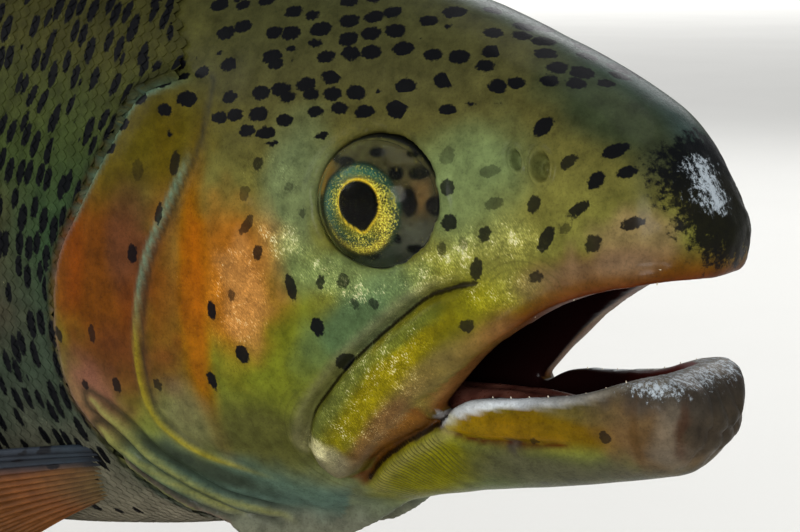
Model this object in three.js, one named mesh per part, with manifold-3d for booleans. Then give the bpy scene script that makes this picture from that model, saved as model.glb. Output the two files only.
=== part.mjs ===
// Rainbow trout, a mature male, as a life-size still model on a display stand.
// Millimetres, +Z up. The fish looks along +X; its right side faces -Y.
// Inside the fish, "s" is the distance back from the tip of the snout and z is the height
// above the snout tip's own level. The whole fish is then bent, pitched and set on the stand.
import * as THREE from 'three';
import { mergeVertices } from 'three/addons/utils/BufferGeometryUtils.js';
import Module from 'manifold-3d';

// ---------------------------------------------------------------- driving dimensions
const STEM_END = 400; // where the tail stem ends inside the tail fin
const SNOUT_X = 228; // snout tip, from the middle of the stand
const SNOUT_HEIGHT = 125; // snout tip, above the floor
const PITCH = THREE.MathUtils.degToRad(4.26); // the nose is held up by this much
const SWAY = 16; // how far the tail fin's edge swings to the fish's left
const SWAY_FROM = 150; // the body is straight in front of here
const SWAY_LENGTH = 300;

const GAP = 0.3; // clearance between pieces that meet
const SECTION_POWER = 2.1; // 2 is an ellipse; more is boxier
const RING = 22; // corners in one cross-section
const REACH = 70; // more than the half-width, for cutters
const FAR = 90; // clear above and below the whole fish, for cutters
const AHEAD = -20; // clear in front of the snout
const BEHIND = 500; // clear behind the tail
const CURVE_STEPS = 2; // straight pieces for each point of a curved outline

// Outlines of the body: [s, value], in order from the snout to the tail
const TOP = through([[0, 10], [3, 13.3], [7, 16.6], [12, 20], [18, 23.3], [25, 26.6], [33, 30.2], [42, 33.5],
  [57, 38], [77, 43], [101, 48.5], [130, 53.5], [165, 57.5], [200, 57.5], [240, 52.5], [280, 44.5],
  [320, 35.5], [355, 28], [385, 24], [400, 24.5]]);
const BOTTOM = through([[0, -24], [10, -28], [20, -30], [33, -32.5], [45, -35], [60, -38.5], [77, -42.5],
  [101, -47], [130, -50.5], [165, -52], [200, -51.5], [240, -47.5], [280, -39.5], [320, -28.5],
  [355, -20], [385, -16.5], [400, -17]]);
const HALF_WIDTH = through([[0, 9.4], [4, 10.1], [9, 11], [15, 12], [22, 13], [30, 14.3], [38, 15.9],
  [45, 17.4], [57, 20.6], [70, 23], [82, 24.6], [101, 25.2], [130, 27.5], [165, 29], [200, 28.5],
  [240, 26], [280, 21.5], [320, 16], [355, 11], [385, 7.5], [400, 4.5]]);
const WIDEST_AT = through([[0, 1], [10, 0], [20, -2], [32, -5], [45, -8.5], [60, -10], [80, -9], [101, -4],
  [130, 1], [165, 4], [300, 6], [400, 4]]);
const SNOUT = { radius: 8, height: 3.5 }; // the round end of the snout
const SHARPEST = 0.02; // share of its full size that a round end shrinks to at its tip

// The lower jaw has its own outline, so that its tip stands clear under the snout
const JAW_BOTTOM = through([[0, -24], [4, -26.5], [12, -28.6], [24, -31], [38, -33.4], [50, -36.4],
  [64, -41]]);
const JAW_HALF_WIDTH = through([[0, 7], [5, 8.6], [12, 9.9], [22, 11.2], [34, 12.6], [48, 14.6],
  [64, 18]]);
const JAW_TOP = -8;
const JAW_WIDEST_AT = -17.5;
const JAW_TIP = { radius: 7, height: -18.5 };
const JAW_END = 62;

// Lines on the side of the head: [s, z]
const UPPER_LIP = [[-6, -2.2], [3, -2.8], [11, -4], [17, -5.8], [22, -8.4], [28, -12.4], [35.5, -19.6]];
const LOWER_LIP = [[35.5, -21], [31, -18.6], [24, -17.9], [15, -16.8], [9, -15], [5, -13.9], [1.5, -14.8],
  [-6, -19]];
const JAW_JOINT = [[41.5, -23.2], [46, -27], [49.6, -30.6], [54, -37], [58, -50]];
const MAXILLA_TOP = [[25, -3.4], [30.6, -4.4], [35, -6.3], [41.5, -11.1], [47.5, -16.3], [52.1, -21.4],
  [54.4, -26]];
const MAXILLA_EDGE = [[54.2, -29.4], [51.6, -30.8], [48.6, -29.2], [41.4, -22.6], [34.6, -17.7],
  [28.4, -12.4], [22.5, -7.4]];
const PREOPERCLE = [[64, -32.4], [75, -27.6], [79.2, -22], [79, -12], [76.4, -1.3], [71.5, 8], [68.4, 15],
  [68, 22.4]];
const GILL_EDGE = [[73, 22.7], [78.6, 20.6], [82.4, 15], [88.5, 6], [93.6, -1.5], [95.8, -11],
  [95.4, -21], [91, -28]];
const GILL_UNDER = [[84, -33.5], [74, -36.5], [65, -36.5]];
const THROAT_REAR = [[92.5, -29.5], [87, -38], [78, -47], [66, -60]];
const THROAT_FRONT = [[60, -60], [57, -37.4]];
const NAPE = [[70, 23.2], [74, 30], [80, 46], [84, 70]];

const SKIN_LIFT = { maxilla: 1.3, gill: 0.8, throat: 0.6 }; // these plates stand proud of the head
const PLATE = { maxilla: 2.6, gill: 3, throat: 2.4 }; // and go this deep into it

// The eye's ball: its middle, its half sizes, and its turn towards the snout
const EYE = { s: 41.5, z: 6.2, y: 12.4, long: 9.6, high: 8.9, deep: 7.2, turn: THREE.MathUtils.degToRad(12) };
// Its outline as shares of those half sizes, [distance from the axis, height along it]: pointed
// behind, and rounder than a ball's in front
const EYE_PROFILE = [[0, -1], [0.7, -0.71], [1, 0], [0.9, 0.44], [0.7, 0.72], [0.4, 0.93], [0, 1]];
const EYE_SIDES = 18;
const NOSTRILS = [{ s: 18.6, z: 11.2, radius: 1.1 }, { s: 21.4, z: 11, radius: 1.1 }];
const NOSTRIL_OUT = 0.86; // a nostril's middle, as a share of the head's half width there

// Inside of the mouth: [s, value]
const MOUTH_HALF_WIDTH = through([[3, 2.5], [8, 5.6], [16, 7.8], [30, 9.6], [46, 9.4], [60, 6], [66, 2]]);
const MOUTH_ROOF = through([[3, -3.4], [10, 0], [20, -0.6], [34, -5.6], [50, -11], [66, -18]]);
const MOUTH_FLOOR = through([[3, -15], [8, -20], [18, -24], [34, -26.4], [50, -27], [66, -22]]);
const TONGUE = { from: 13, to: 50, halfWidth: 4.6, top: -19.4, edge: 2, bottom: -30 };
const TEETH = { count: 7, from: 6, upperTo: 21, lowerTo: 29, radius: 0.4, length: 1, inset: 2.1, root: 1.8,
  lean: 0.25 };

const BODY_CUTS = [{ s: 200, lean: 8 }, { s: 290, lean: 6 }]; // where the trunk and the tail stem part
const THROAT_END = 62; // the trunk's lower front corner
const JAW_BACK = 58; // the lower jaw's back corner

const FIN_EDGE = 0.7; // thickness at a fin's free edge
const FIN_ROOT = 4; // how deep the fins of the back and the belly are rooted
const TAIL_ROOT = { s: 388, top: 19, bottom: -11, depth: 12 }; // where the tail fin's rays start
const BASE = { length: 300, width: 124, height: 16, corner: 20, bevel: 2 };
const ROD = { radius: 4, foot: 9, footHeight: 4, collar: 1, sides: 16, sink: 9 };
const RODS = [{ name: 'stand_rod_front', s: 168 }, { name: 'stand_rod_rear', s: 262 }];

// ---------------------------------------------------------------- colours
function paint(color, roughness, metalness = 0) {
  return new THREE.MeshStandardMaterial({ color, roughness, metalness });
}
const COLOURS = {
  head: paint(0x8f8a3c, 0.35),
  jaw: paint(0xb09a45, 0.4),
  maxilla: paint(0xa79d45, 0.3, 0.2),
  gill: paint(0xc07a55, 0.35),
  throat: paint(0x9fa58a, 0.4),
  trunk: paint(0x6f7f62, 0.35),
  fin: paint(0x6b5a3c, 0.45),
  eye: paint(0x2a2a16, 0.1),
  tongue: paint(0x7a3b35, 0.5),
  base: paint(0x2c2622, 0.5),
  rod: paint(0x9a9a98, 0.3, 0.9),
};

// ---------------------------------------------------------------- curves and solids
/** A smooth curve through [x, y] knots that never overshoots them. */
function through(knots) {
  const step = knots.slice(1).map(([x], i) => x - knots[i][0]);
  const slope = knots.slice(1).map(([, y], i) => (y - knots[i][1]) / step[i]);
  const tangent = knots.map((_, i) => {
    if (i === 0 || i === knots.length - 1) return slope[Math.min(i, slope.length - 1)];
    const [before, after] = [slope[i - 1], slope[i]];
    if (before * after <= 0) return 0;
    const [a, b] = [2 * step[i] + step[i - 1], step[i] + 2 * step[i - 1]];
    return (a + b) / (a / before + b / after);
  });
  return (x) => {
    const at = THREE.MathUtils.clamp(x, knots[0][0], knots.at(-1)[0]);
    const i = Math.max(0, knots.findLastIndex(([start], k) => start <= at && k < step.length));
    const t = (at - knots[i][0]) / step[i];
    const [y0, y1] = [knots[i][1], knots[i + 1][1]];
    const [m0, m1] = [tangent[i] * step[i], tangent[i + 1] * step[i]];
    return (2 * t ** 3 - 3 * t ** 2 + 1) * y0 + (t ** 3 - 2 * t ** 2 + t) * m0
      + (3 * t ** 2 - 2 * t ** 3) * y1 + (t ** 3 - t ** 2) * m1;
  };
}

const wasm = await Module();
wasm.setup();

/** A closed three.js geometry as a solid that can be cut and joined. */
function solid(geometry) {
  const bare = new THREE.BufferGeometry();
  bare.setAttribute('position', geometry.getAttribute('position'));
  bare.setIndex(geometry.getIndex());
  const merged = mergeVertices(bare, 1e-4);
  return new wasm.Manifold(new wasm.Mesh({
    numProp: 3,
    vertProperties: Float32Array.from(merged.getAttribute('position').array),
    triVerts: Uint32Array.from(merged.getIndex().array),
  }));
}

/** A solid's surface as a three.js geometry. */
function geometryOf(body) {
  const { vertProperties, triVerts } = body.getMesh();
  const geometry = new THREE.BufferGeometry();
  geometry.setAttribute('position', new THREE.BufferAttribute(vertProperties, 3));
  geometry.setIndex(new THREE.BufferAttribute(triVerts, 1));
  return geometry;
}

/** Closed skin over rows of points: each row is a ring, and the first and last rows are capped. */
function rings(rows) {
  const count = rows[0].length;
  const points = rows.flat();
  const index = [];
  for (let r = 0; r + 1 < rows.length; r += 1) {
    for (let k = 0; k < count; k += 1) {
      const next = (k + 1) % count;
      const [a, b] = [r * count + k, r * count + next];
      index.push(a, a + count, b, b, a + count, b + count);
    }
  }
  for (const [row, flip] of [[0, true], [rows.length - 1, false]]) {
    const centre = new THREE.Vector3();
    rows[row].forEach((point) => centre.addScaledVector(point, 1 / count));
    const hub = points.push(centre) - 1;
    for (let k = 0; k < count; k += 1) {
      const [a, b] = [row * count + k, row * count + ((k + 1) % count)];
      index.push(hub, ...(flip ? [a, b] : [b, a]));
    }
  }
  const geometry = new THREE.BufferGeometry().setFromPoints(points);
  geometry.setIndex(index);
  return geometry;
}

/** Even steps from one value to another, both ends included. */
function steps(from, to, count) {
  return Array.from({ length: count + 1 }, (_, i) => from + ((to - from) * i) / count);
}

/** Corner of a boxy ellipse: power of the cosine or sine that keeps its sign. */
const boxy = (value) => Math.sign(value) * Math.abs(value) ** (2 / SECTION_POWER);

/** Rings of cross-sections along the fish; nose rounds off the front end, and grow swells it all. */
function hull({ top, bottom, halfWidth, widestAt, nose, stations, grow = 0, ring = RING }) {
  const rows = stations.map((station) => {
    const s = Math.max(station, 0);
    const reach = nose ? THREE.MathUtils.clamp(1 - s / nose.radius, 0, 1) : 0;
    const round = Math.max(Math.sqrt(1 - reach * reach), nose ? SHARPEST : 0);
    const level = nose ? nose.height : 0;
    const squeeze = (z) => (nose ? level + (z - level) * round : z);
    const middle = squeeze(widestAt(s));
    const up = squeeze(top(s)) + grow - middle;
    const down = middle - squeeze(bottom(s)) + grow;
    const across = halfWidth(s) * round + grow;
    return steps(0, 2 * Math.PI, ring).slice(0, ring).map((angle) => {
      const lift = boxy(Math.sin(angle));
      return new THREE.Vector3(-s + (station < nose?.radius ? grow * (1 - round) : 0),
        across * boxy(Math.cos(angle)), middle + lift * (lift > 0 ? up : down));
    });
  });
  return solid(rings(rows));
}

/** Stations that crowd together on a round nose and then follow the given steps. */
function fromNose(nose, rest) {
  const round = steps(0, Math.PI / 2, 4).map((turn) => nose.radius * (1 - Math.cos(turn)));
  return [...round, ...rest];
}

const HEAD_STATIONS = [...steps(12, 57, 9), ...steps(66, 102, 3)];
const BODY_STATIONS = [...steps(115, 370, 15), ...steps(380, STEM_END, 2)];

/** The whole body, snout to tail stem, as if its mouth were shut. */
const wholeBody = (grow = 0) => hull({ top: TOP, bottom: BOTTOM, halfWidth: HALF_WIDTH, widestAt: WIDEST_AT,
  nose: SNOUT, stations: fromNose(SNOUT, [...HEAD_STATIONS, ...BODY_STATIONS]), grow });

/** The head's part of the body only; a negative grow gives the core under its plates. */
const headForm = (grow) => hull({ top: TOP, bottom: BOTTOM, halfWidth: HALF_WIDTH, widestAt: WIDEST_AT,
  nose: SNOUT, stations: fromNose(SNOUT, HEAD_STATIONS), grow });

/** The lower jaw's outside. */
const jawForm = (grow = 0) => hull({ top: () => JAW_TOP, bottom: JAW_BOTTOM, halfWidth: JAW_HALF_WIDTH,
  widestAt: () => JAW_WIDEST_AT, nose: JAW_TIP, grow,
  stations: fromNose(JAW_TIP, steps(11, JAW_END + 2, 9)) });

/** The hollow of the mouth, or the space just inside its walls. */
const mouthHollow = (grow = 0) => hull({ top: MOUTH_ROOF, bottom: MOUTH_FLOOR, halfWidth: MOUTH_HALF_WIDTH,
  widestAt: (s) => (MOUTH_ROOF(s) + MOUTH_FLOOR(s)) / 2, stations: steps(3, 66, 8), grow, ring: 12 });

/** Side-view outline made of smooth runs of [s, z] points, pushed through from yFrom to yTo. */
function sideCutter(runs, yFrom = -REACH, yTo = REACH) {
  const shape = new THREE.Shape();
  runs.forEach((run, i) => {
    const [first, ...rest] = run.map(([s, z]) => new THREE.Vector2(-s, z));
    if (i === 0) shape.moveTo(first.x, first.y);
    else shape.lineTo(first.x, first.y);
    if (rest.length === 1) shape.lineTo(rest[0].x, rest[0].y);
    else if (rest.length > 1) shape.splineThru(rest);
  });
  const geometry = new THREE.ExtrudeGeometry(shape,
    { depth: yTo - yFrom, bevelEnabled: false, curveSegments: CURVE_STEPS });
  geometry.rotateX(Math.PI / 2);
  geometry.translate(0, yTo, 0);
  return solid(geometry);
}

/** A run of points moved by a distance in s and z. */
const moved = (run, ds, dz) => run.map(([s, z]) => [s + ds, z + dz]);

/** A whole outline pushed outwards all round, or inwards where the distance is negative. */
function spread(runs, distance) {
  const points = runs.flat().map(([s, z]) => new THREE.Vector2(s, z));
  const at = (i) => points[(i + points.length) % points.length];
  const side = Math.sign(THREE.ShapeUtils.area(points)) * distance;
  const pushed = points.map((point, i) => {
    const before = point.clone().sub(at(i - 1)).normalize();
    const after = at(i + 1).clone().sub(point).normalize();
    const along = before.clone().add(after).normalize();
    const stretch = side / Math.max(0.4, along.dot(after));
    return [point.x + along.y * stretch, point.y - along.x * stretch];
  });
  return runs.map((run) => pushed.splice(0, run.length));
}

/** The half-plane of space on one side of the fish, side -1 (right) or 1 (left), clear of the middle. */
const flank = (side) => (side < 0 ? [-REACH, -GAP] : [GAP, REACH]);

// ---------------------------------------------------------------- the fish's shape in space
/** Sideways swing of the spine at a distance s, and its slope. */
function spine(s) {
  const u = Math.max(0, s - SWAY_FROM) / SWAY_LENGTH;
  return { offset: SWAY * u * u, slope: (2 * SWAY * u) / SWAY_LENGTH };
}

/** Bends a straight fish's geometry along its spine. */
function bend(geometry) {
  const position = geometry.getAttribute('position');
  for (let i = 0; i < position.count; i += 1) {
    const [x, y] = [position.getX(i), position.getY(i)];
    const { offset, slope } = spine(-x);
    const turn = Math.hypot(1, slope);
    position.setXY(i, x + (y * slope) / turn, offset + y / turn);
  }
  return geometry;
}

const fish = new THREE.Group();
fish.position.set(SNOUT_X, 0, SNOUT_HEIGHT);
fish.rotation.y = -PITCH;
const model = new THREE.Group();
model.add(fish);

/** Adds one named piece of the fish. */
function addFlesh(name, body, material) {
  const mesh = new THREE.Mesh(bend(geometryOf(body)), material);
  mesh.name = name;
  fish.add(mesh);
}

/** Adds one named piece of the stand. */
function addStand(name, geometry, material) {
  const mesh = new THREE.Mesh(geometry, material);
  mesh.name = name;
  model.add(mesh);
}

const SIDES = [{ name: 'right', side: -1 }, { name: 'left', side: 1 }];

// ---------------------------------------------------------------- regions of the side view
/** Everything behind the gill opening and the nape. */
const behindHead = (grow) => sideCutter(spread([[...GILL_UNDER].reverse(), [...GILL_EDGE].reverse(), NAPE,
  [[BEHIND, FAR]], [[BEHIND, -FAR]], [[THROAT_END, -FAR]]], grow));

/** The open mouth and the lower jaw under it. */
const mouthAndJaw = () => sideCutter([UPPER_LIP, JAW_JOINT, [[JAW_BACK, -FAR]], [[AHEAD, -FAR]],
  [[AHEAD, UPPER_LIP[0][1]]]]);

/** The lower jaw alone. */
const jawOnly = () => sideCutter([LOWER_LIP, [[AHEAD, LOWER_LIP.at(-1)[1]]], [[AHEAD, -FAR]],
  [[JAW_BACK - GAP, -FAR]], moved([...JAW_JOINT].reverse(), -GAP, -GAP)]);

const maxillaRegion = (side, grow) => sideCutter(spread([MAXILLA_TOP, MAXILLA_EDGE], grow), ...flank(side));

/** The membrane and its rays that close the throat below the gill cover. */
const throatRegion = (side, grow) => sideCutter(spread([THROAT_REAR, THROAT_FRONT,
  moved([...GILL_UNDER].reverse(), 0, -GAP)], grow), ...flank(side));

const gillRegion = (side, grow) => sideCutter(
  spread([PREOPERCLE, GILL_EDGE, GILL_UNDER], grow), ...flank(side));

// ---------------------------------------------------------------- the head
/** The eye's ball on one side of the head, or the socket for it where grow gives room. */
function eyeGlobe(side, grow = 0) {
  const profile = EYE_PROFILE.map(([r, h]) => new THREE.Vector2(r, h));
  const globe = new THREE.LatheGeometry(profile, EYE_SIDES);
  globe.scale(EYE.long + grow, EYE.deep + grow, EYE.high + grow);
  if (side < 0) globe.rotateZ(Math.PI);
  globe.rotateZ(-side * EYE.turn);
  globe.translate(-EYE.s, side * EYE.y, EYE.z);
  return solid(globe);
}

/** The small round pit of one nostril. */
function nostrilPit({ s, z, radius }, side) {
  const pit = new THREE.SphereGeometry(radius, 6, 4);
  pit.translate(-s, side * HALF_WIDTH(s) * NOSTRIL_OUT, z);
  return solid(pit);
}

/** A row of small teeth along one side of a lip, back to s = to; way is 1 for teeth that point up. */
function teeth({ lip, halfWidth, to, way }, side) {
  return steps(TEETH.from, to, TEETH.count - 1).map((s) => {
    const tooth = new THREE.ConeGeometry(TEETH.radius, TEETH.length + TEETH.root, 4);
    if (way < 0) tooth.rotateX(Math.PI);
    tooth.rotateX(Math.PI / 2);
    tooth.rotateY(-way * TEETH.lean);
    const root = lip(s) + way * (TEETH.length / 2 - TEETH.root / 2);
    tooth.translate(-s, side * (halfWidth(s) - TEETH.inset), root);
    return solid(tooth);
  });
}

const UPPER_TEETH = { lip: through(UPPER_LIP), halfWidth: HALF_WIDTH, to: TEETH.upperTo, way: -1 };
const LOWER_TEETH = { lip: through([...LOWER_LIP].reverse()), halfWidth: JAW_HALF_WIDTH, to: TEETH.lowerTo,
  way: 1 };
const joined = (bodies) => bodies.reduce((sum, body) => sum.add(body));

/** The space that a plate on one side of the head needs, down to its seat. */
const plateSeat = (region, depth, side) => region(side, GAP).subtract(headForm(-depth - GAP));

/** The head without its jaw, plates and eyes, with seats cut for them. */
function buildHead() {
  let head = wholeBody().subtract(behindHead(0)).subtract(mouthAndJaw()).subtract(mouthHollow());
  for (const { side } of SIDES) {
    head = head.add(joined(teeth(UPPER_TEETH, side))).subtract(eyeGlobe(side, GAP));
    head = head.subtract(plateSeat(maxillaRegion, PLATE.maxilla, side));
    head = head.subtract(plateSeat(gillRegion, PLATE.gill, side));
    head = head.subtract(plateSeat(throatRegion, PLATE.throat, side));
    NOSTRILS.forEach((nostril) => { head = head.subtract(nostrilPit(nostril, side)); });
  }
  addFlesh('head', head, COLOURS.head);
}

/** The lower jaw with its teeth, and the tongue in it. */
function buildJaw() {
  let jaw = jawForm().intersect(jawOnly()).subtract(mouthHollow());
  for (const { side } of SIDES) {
    jaw = jaw.add(joined(teeth(LOWER_TEETH, side)));
  }
  addFlesh('lower_jaw', jaw, COLOURS.jaw);
  const tongueForm = hull({ top: () => TONGUE.top, bottom: () => TONGUE.bottom,
    halfWidth: () => TONGUE.halfWidth, widestAt: () => TONGUE.top - TONGUE.edge,
    stations: steps(TONGUE.from, TONGUE.to, 5), ring: 12 });
  addFlesh('tongue', tongueForm.intersect(mouthHollow(-GAP)), COLOURS.tongue);
}

/** The maxilla, gill cover, throat and eye of each side. */
function buildPlates() {
  for (const { name, side } of SIDES) {
    const plate = (kind, region) => headForm(SKIN_LIFT[kind]).intersect(region(side, 0))
      .subtract(headForm(-PLATE[kind]));
    const maxilla = plate('maxilla', maxillaRegion).subtract(eyeGlobe(side, GAP));
    addFlesh(`maxilla_${name}`, maxilla, COLOURS.maxilla);
    addFlesh(`gill_cover_${name}`, plate('gill', gillRegion), COLOURS.gill);
    addFlesh(`throat_${name}`, plate('throat', throatRegion), COLOURS.throat);
    addFlesh(`eye_${name}`, eyeGlobe(side), COLOURS.eye);
  }
}

// ---------------------------------------------------------------- trunk and tail stem
/** The slice of the body between two leaning cuts; null leaves that end uncut. */
function bodySlice(front, rear) {
  const edge = (cut, shift) => [[cut.s + shift + cut.lean, FAR], [cut.s + shift - cut.lean, -FAR]];
  let slice = wholeBody();
  if (front) slice = slice.subtract(sideCutter([edge(front, GAP), [[AHEAD, -FAR]], [[AHEAD, FAR]]]));
  if (rear) slice = slice.subtract(sideCutter([edge(rear, 0), [[BEHIND, -FAR]], [[BEHIND, FAR]]]));
  return slice;
}

/** The body behind the head, in three lengths. */
function buildTrunk() {
  const [middle, stem] = BODY_CUTS;
  let shoulders = bodySlice(null, middle).intersect(behindHead(-GAP));
  for (const { side } of SIDES) {
    shoulders = shoulders.subtract(plateSeat(throatRegion, PLATE.throat, side));
  }
  addFlesh('trunk_front', shoulders, COLOURS.trunk);
  addFlesh('trunk_rear', bodySlice(middle, stem), COLOURS.trunk);
  addFlesh('tail_stem', bodySlice(stem, null), COLOURS.trunk);
}

// ---------------------------------------------------------------- fins
/**
 * A thin fin blade. root(u) gives the root from the leading ray (u = 0) to the last one (u = 1),
 * ray(u) the ray's whole vector, and face the direction across the blade.
 */
function finBlade({ root, ray, face, thick, curl = 0, across = 8, along = 3 }) {
  const rows = steps(0, 1, across).map((u) => {
    const start = root(u);
    const vector = ray(u);
    const edge = 1 - Math.abs(2 * u - 1) ** 4;
    const point = (v, side) => {
      const thickness = THREE.MathUtils.lerp(FIN_EDGE, thick, (1 - v) * edge);
      return start.clone().addScaledVector(vector, v)
        .addScaledVector(face, (side * thickness) / 2 + curl * v * v);
    };
    const there = steps(0, 1, along).map((v) => point(v, 1));
    const back = steps(1, 0, along).map((v) => point(v, -1));
    return [...there, ...back];
  });
  const blade = solid(rings(rows));
  return blade.volume() < 0 ? solid(rings([...rows].reverse())) : blade;
}

/** A direction in the fish's upright middle plane: degrees above straight back. */
function backward(degrees, length) {
  const angle = THREE.MathUtils.degToRad(degrees);
  return new THREE.Vector3(-Math.cos(angle) * length, 0, Math.sin(angle) * length);
}

const SIDEWAYS = new THREE.Vector3(0, 1, 0);
const mix = THREE.MathUtils.lerp;
const onBack = (s) => new THREE.Vector3(-s, 0, TOP(s) - FIN_ROOT);
const onBelly = (s) => new THREE.Vector3(-s, 0, BOTTOM(s) + FIN_ROOT);
const onTail = (u) => new THREE.Vector3(-TAIL_ROOT.s, 0, mix(TAIL_ROOT.top, TAIL_ROOT.bottom, u));

/** Ray lengths outside the body, from the leading ray to the last one. */
const dorsalLength = through([[0, 18], [0.1, 35], [0.2, 41], [0.6, 33], [1, 21]]);
const adiposeLength = (u) => mix(19, 7, u ** 1.5);
const analLength = through([[0, 18], [0.12, 33], [0.24, 36], [0.6, 27], [1, 16]]);
const caudalLength = through([[0, 60], [0.1, 62], [0.3, 54], [0.5, 50], [0.7, 54], [0.9, 62], [1, 60]]);
const pectoralLength = through([[0, 52], [0.12, 58], [0.4, 54], [0.75, 42], [1, 30]]);
const pelvicLength = through([[0, 34], [0.15, 40], [0.5, 37], [1, 24]]);

/** The fins in the fish's middle plane: where each is rooted, s from and to, and its rays' slopes. */
const MIDDLE_FINS = {
  dorsal_fin: { root: (u) => onBack(mix(187, 240, u)), thick: 3.4, face: SIDEWAYS,
    ray: (u) => backward(mix(62, 30, u), FIN_ROOT + dorsalLength(u)) },
  adipose_fin: { root: (u) => onBack(mix(322, 336, u)), thick: 2.6, face: SIDEWAYS, across: 6,
    ray: (u) => backward(mix(34, 22, u), FIN_ROOT + adiposeLength(u)) },
  anal_fin: { root: (u) => onBelly(mix(288, 326, u)), thick: 3, face: SIDEWAYS,
    ray: (u) => backward(mix(-62, -28, u), FIN_ROOT + analLength(u)) },
  caudal_fin: { root: onTail, thick: 4, face: SIDEWAYS, across: 12,
    ray: (u) => backward(mix(31, -31, u), TAIL_ROOT.depth + caudalLength(u)) },
};

/** A paired fin: its ray directions are [back, out, up] at the leading ray and at the last one. */
function pairedFin(side, { front, rear, lead, last, length, thick, curl }) {
  const place = ([s, y, z]) => new THREE.Vector3(-s, side * y, z);
  const aim = ([back, out, up]) => new THREE.Vector3(-back, side * out, up).normalize();
  const face = aim(lead).cross(place(rear).sub(place(front))).normalize();
  return finBlade({ thick, curl: curl * side, face,
    root: (u) => place(front).lerp(place(rear), u),
    ray: (u) => aim(lead).lerp(aim(last), u).normalize().multiplyScalar(length(u)) });
}

/** The fins in pairs: the front and rear ends of each root as [s, y, z], and its outermost rays. */
const PAIRED_FINS = {
  pectoral_fin: { front: [94, 19, -30.2], rear: [101, 13, -40], lead: [1, 0.36, -0.06],
    last: [1, 0.1, -0.42], length: pectoralLength, thick: 3, curl: -3 },
  pelvic_fin: { front: [206, 11, -44], rear: [215, 4.5, -46], lead: [1, 0.42, -0.4],
    last: [1, 0.12, -0.5], length: pelvicLength, thick: 2.6, curl: -1.5 },
};

/** All the fins, cut off where they meet the body. */
function buildFins() {
  const flesh = wholeBody(GAP);
  for (const [name, shape] of Object.entries(MIDDLE_FINS)) {
    addFlesh(name, finBlade(shape).subtract(flesh), COLOURS.fin);
  }
  for (const [name, shape] of Object.entries(PAIRED_FINS)) {
    for (const { name: sideName, side } of SIDES) {
      addFlesh(`${name}_${sideName}`, pairedFin(side, shape).subtract(flesh), COLOURS.fin);
    }
  }
}

// ---------------------------------------------------------------- the stand
/** A flat plate with round corners and a soft top edge. */
function buildBase() {
  const [halfLength, halfWidth] = [BASE.length / 2 - BASE.bevel, BASE.width / 2 - BASE.bevel];
  const { corner } = BASE;
  const outline = new THREE.Shape();
  outline.absarc(halfLength - corner, halfWidth - corner, corner, 0, Math.PI / 2);
  outline.absarc(corner - halfLength, halfWidth - corner, corner, Math.PI / 2, Math.PI);
  outline.absarc(corner - halfLength, corner - halfWidth, corner, Math.PI, 1.5 * Math.PI);
  outline.absarc(halfLength - corner, corner - halfWidth, corner, 1.5 * Math.PI, 2 * Math.PI);
  const plate = new THREE.ExtrudeGeometry(outline, { depth: BASE.height - 2 * BASE.bevel,
    bevelThickness: BASE.bevel, bevelSize: BASE.bevel, bevelSegments: 2, curveSegments: 5 });
  plate.translate(0, 0, BASE.bevel);
  addStand('stand_base', geometryOf(solid(plate)), COLOURS.base);
}

/** Upright rods on round feet, with their tops cut to the belly that they carry. */
function buildRods() {
  const belly = bend(geometryOf(wholeBody(GAP)));
  fish.updateMatrixWorld(true);
  belly.applyMatrix4(fish.matrixWorld);
  const bellySolid = solid(belly);
  for (const { name, s } of RODS) {
    const spot = new THREE.Vector3(-s, spine(s).offset, BOTTOM(s)).applyMatrix4(fish.matrixWorld);
    const [foot, top] = [BASE.height + GAP, spot.z + ROD.sink];
    const shoulder = foot + ROD.footHeight;
    const profile = [[0, foot], [ROD.foot, foot], [ROD.foot, foot + ROD.footHeight / 2],
      [ROD.radius + ROD.collar, shoulder], [ROD.radius, shoulder + 2 * ROD.collar],
      [ROD.radius, top], [0, top]];
    const rod = new THREE.LatheGeometry(profile.map(([r, h]) => new THREE.Vector2(r, h)), ROD.sides);
    rod.rotateX(Math.PI / 2);
    rod.translate(spot.x, spot.y, 0);
    addStand(name, geometryOf(solid(rod).subtract(bellySolid)), COLOURS.rod);
  }
}

buildHead();
buildJaw();
buildPlates();
buildTrunk();
buildFins();
buildBase();
buildRods();

export default model;
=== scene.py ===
"""A mature male rainbow trout, life size, as a still model on a plain display stand.

Inside the fish a place is given in millimetres as (s, y, z): s is the distance back from the tip of
the snout, y is sideways with the fish's left positive, and z is the height above the snout's tip.
Attitude turns such places into the row's own frame, in metres.
"""
import logging
import math
from dataclasses import dataclass, field
from enum import Enum
from typing import Callable, Sequence

import bmesh
import bpy
import numpy as np
from mathutils import Matrix, Vector
from mathutils.kdtree import KDTree


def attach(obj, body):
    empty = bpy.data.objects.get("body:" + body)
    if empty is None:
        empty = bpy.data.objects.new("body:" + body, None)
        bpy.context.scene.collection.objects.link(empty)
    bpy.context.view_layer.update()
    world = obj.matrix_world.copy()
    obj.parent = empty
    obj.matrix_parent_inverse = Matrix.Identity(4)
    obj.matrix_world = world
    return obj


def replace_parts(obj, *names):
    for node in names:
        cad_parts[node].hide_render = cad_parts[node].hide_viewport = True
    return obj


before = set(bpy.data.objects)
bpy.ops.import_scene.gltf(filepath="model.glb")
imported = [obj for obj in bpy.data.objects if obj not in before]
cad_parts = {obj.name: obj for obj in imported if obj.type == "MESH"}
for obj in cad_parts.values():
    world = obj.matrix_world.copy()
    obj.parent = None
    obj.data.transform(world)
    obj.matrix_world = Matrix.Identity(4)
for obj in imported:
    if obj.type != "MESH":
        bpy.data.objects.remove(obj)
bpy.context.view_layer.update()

log = logging.getLogger("trout")
Array = np.ndarray
MM = 0.001


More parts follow.
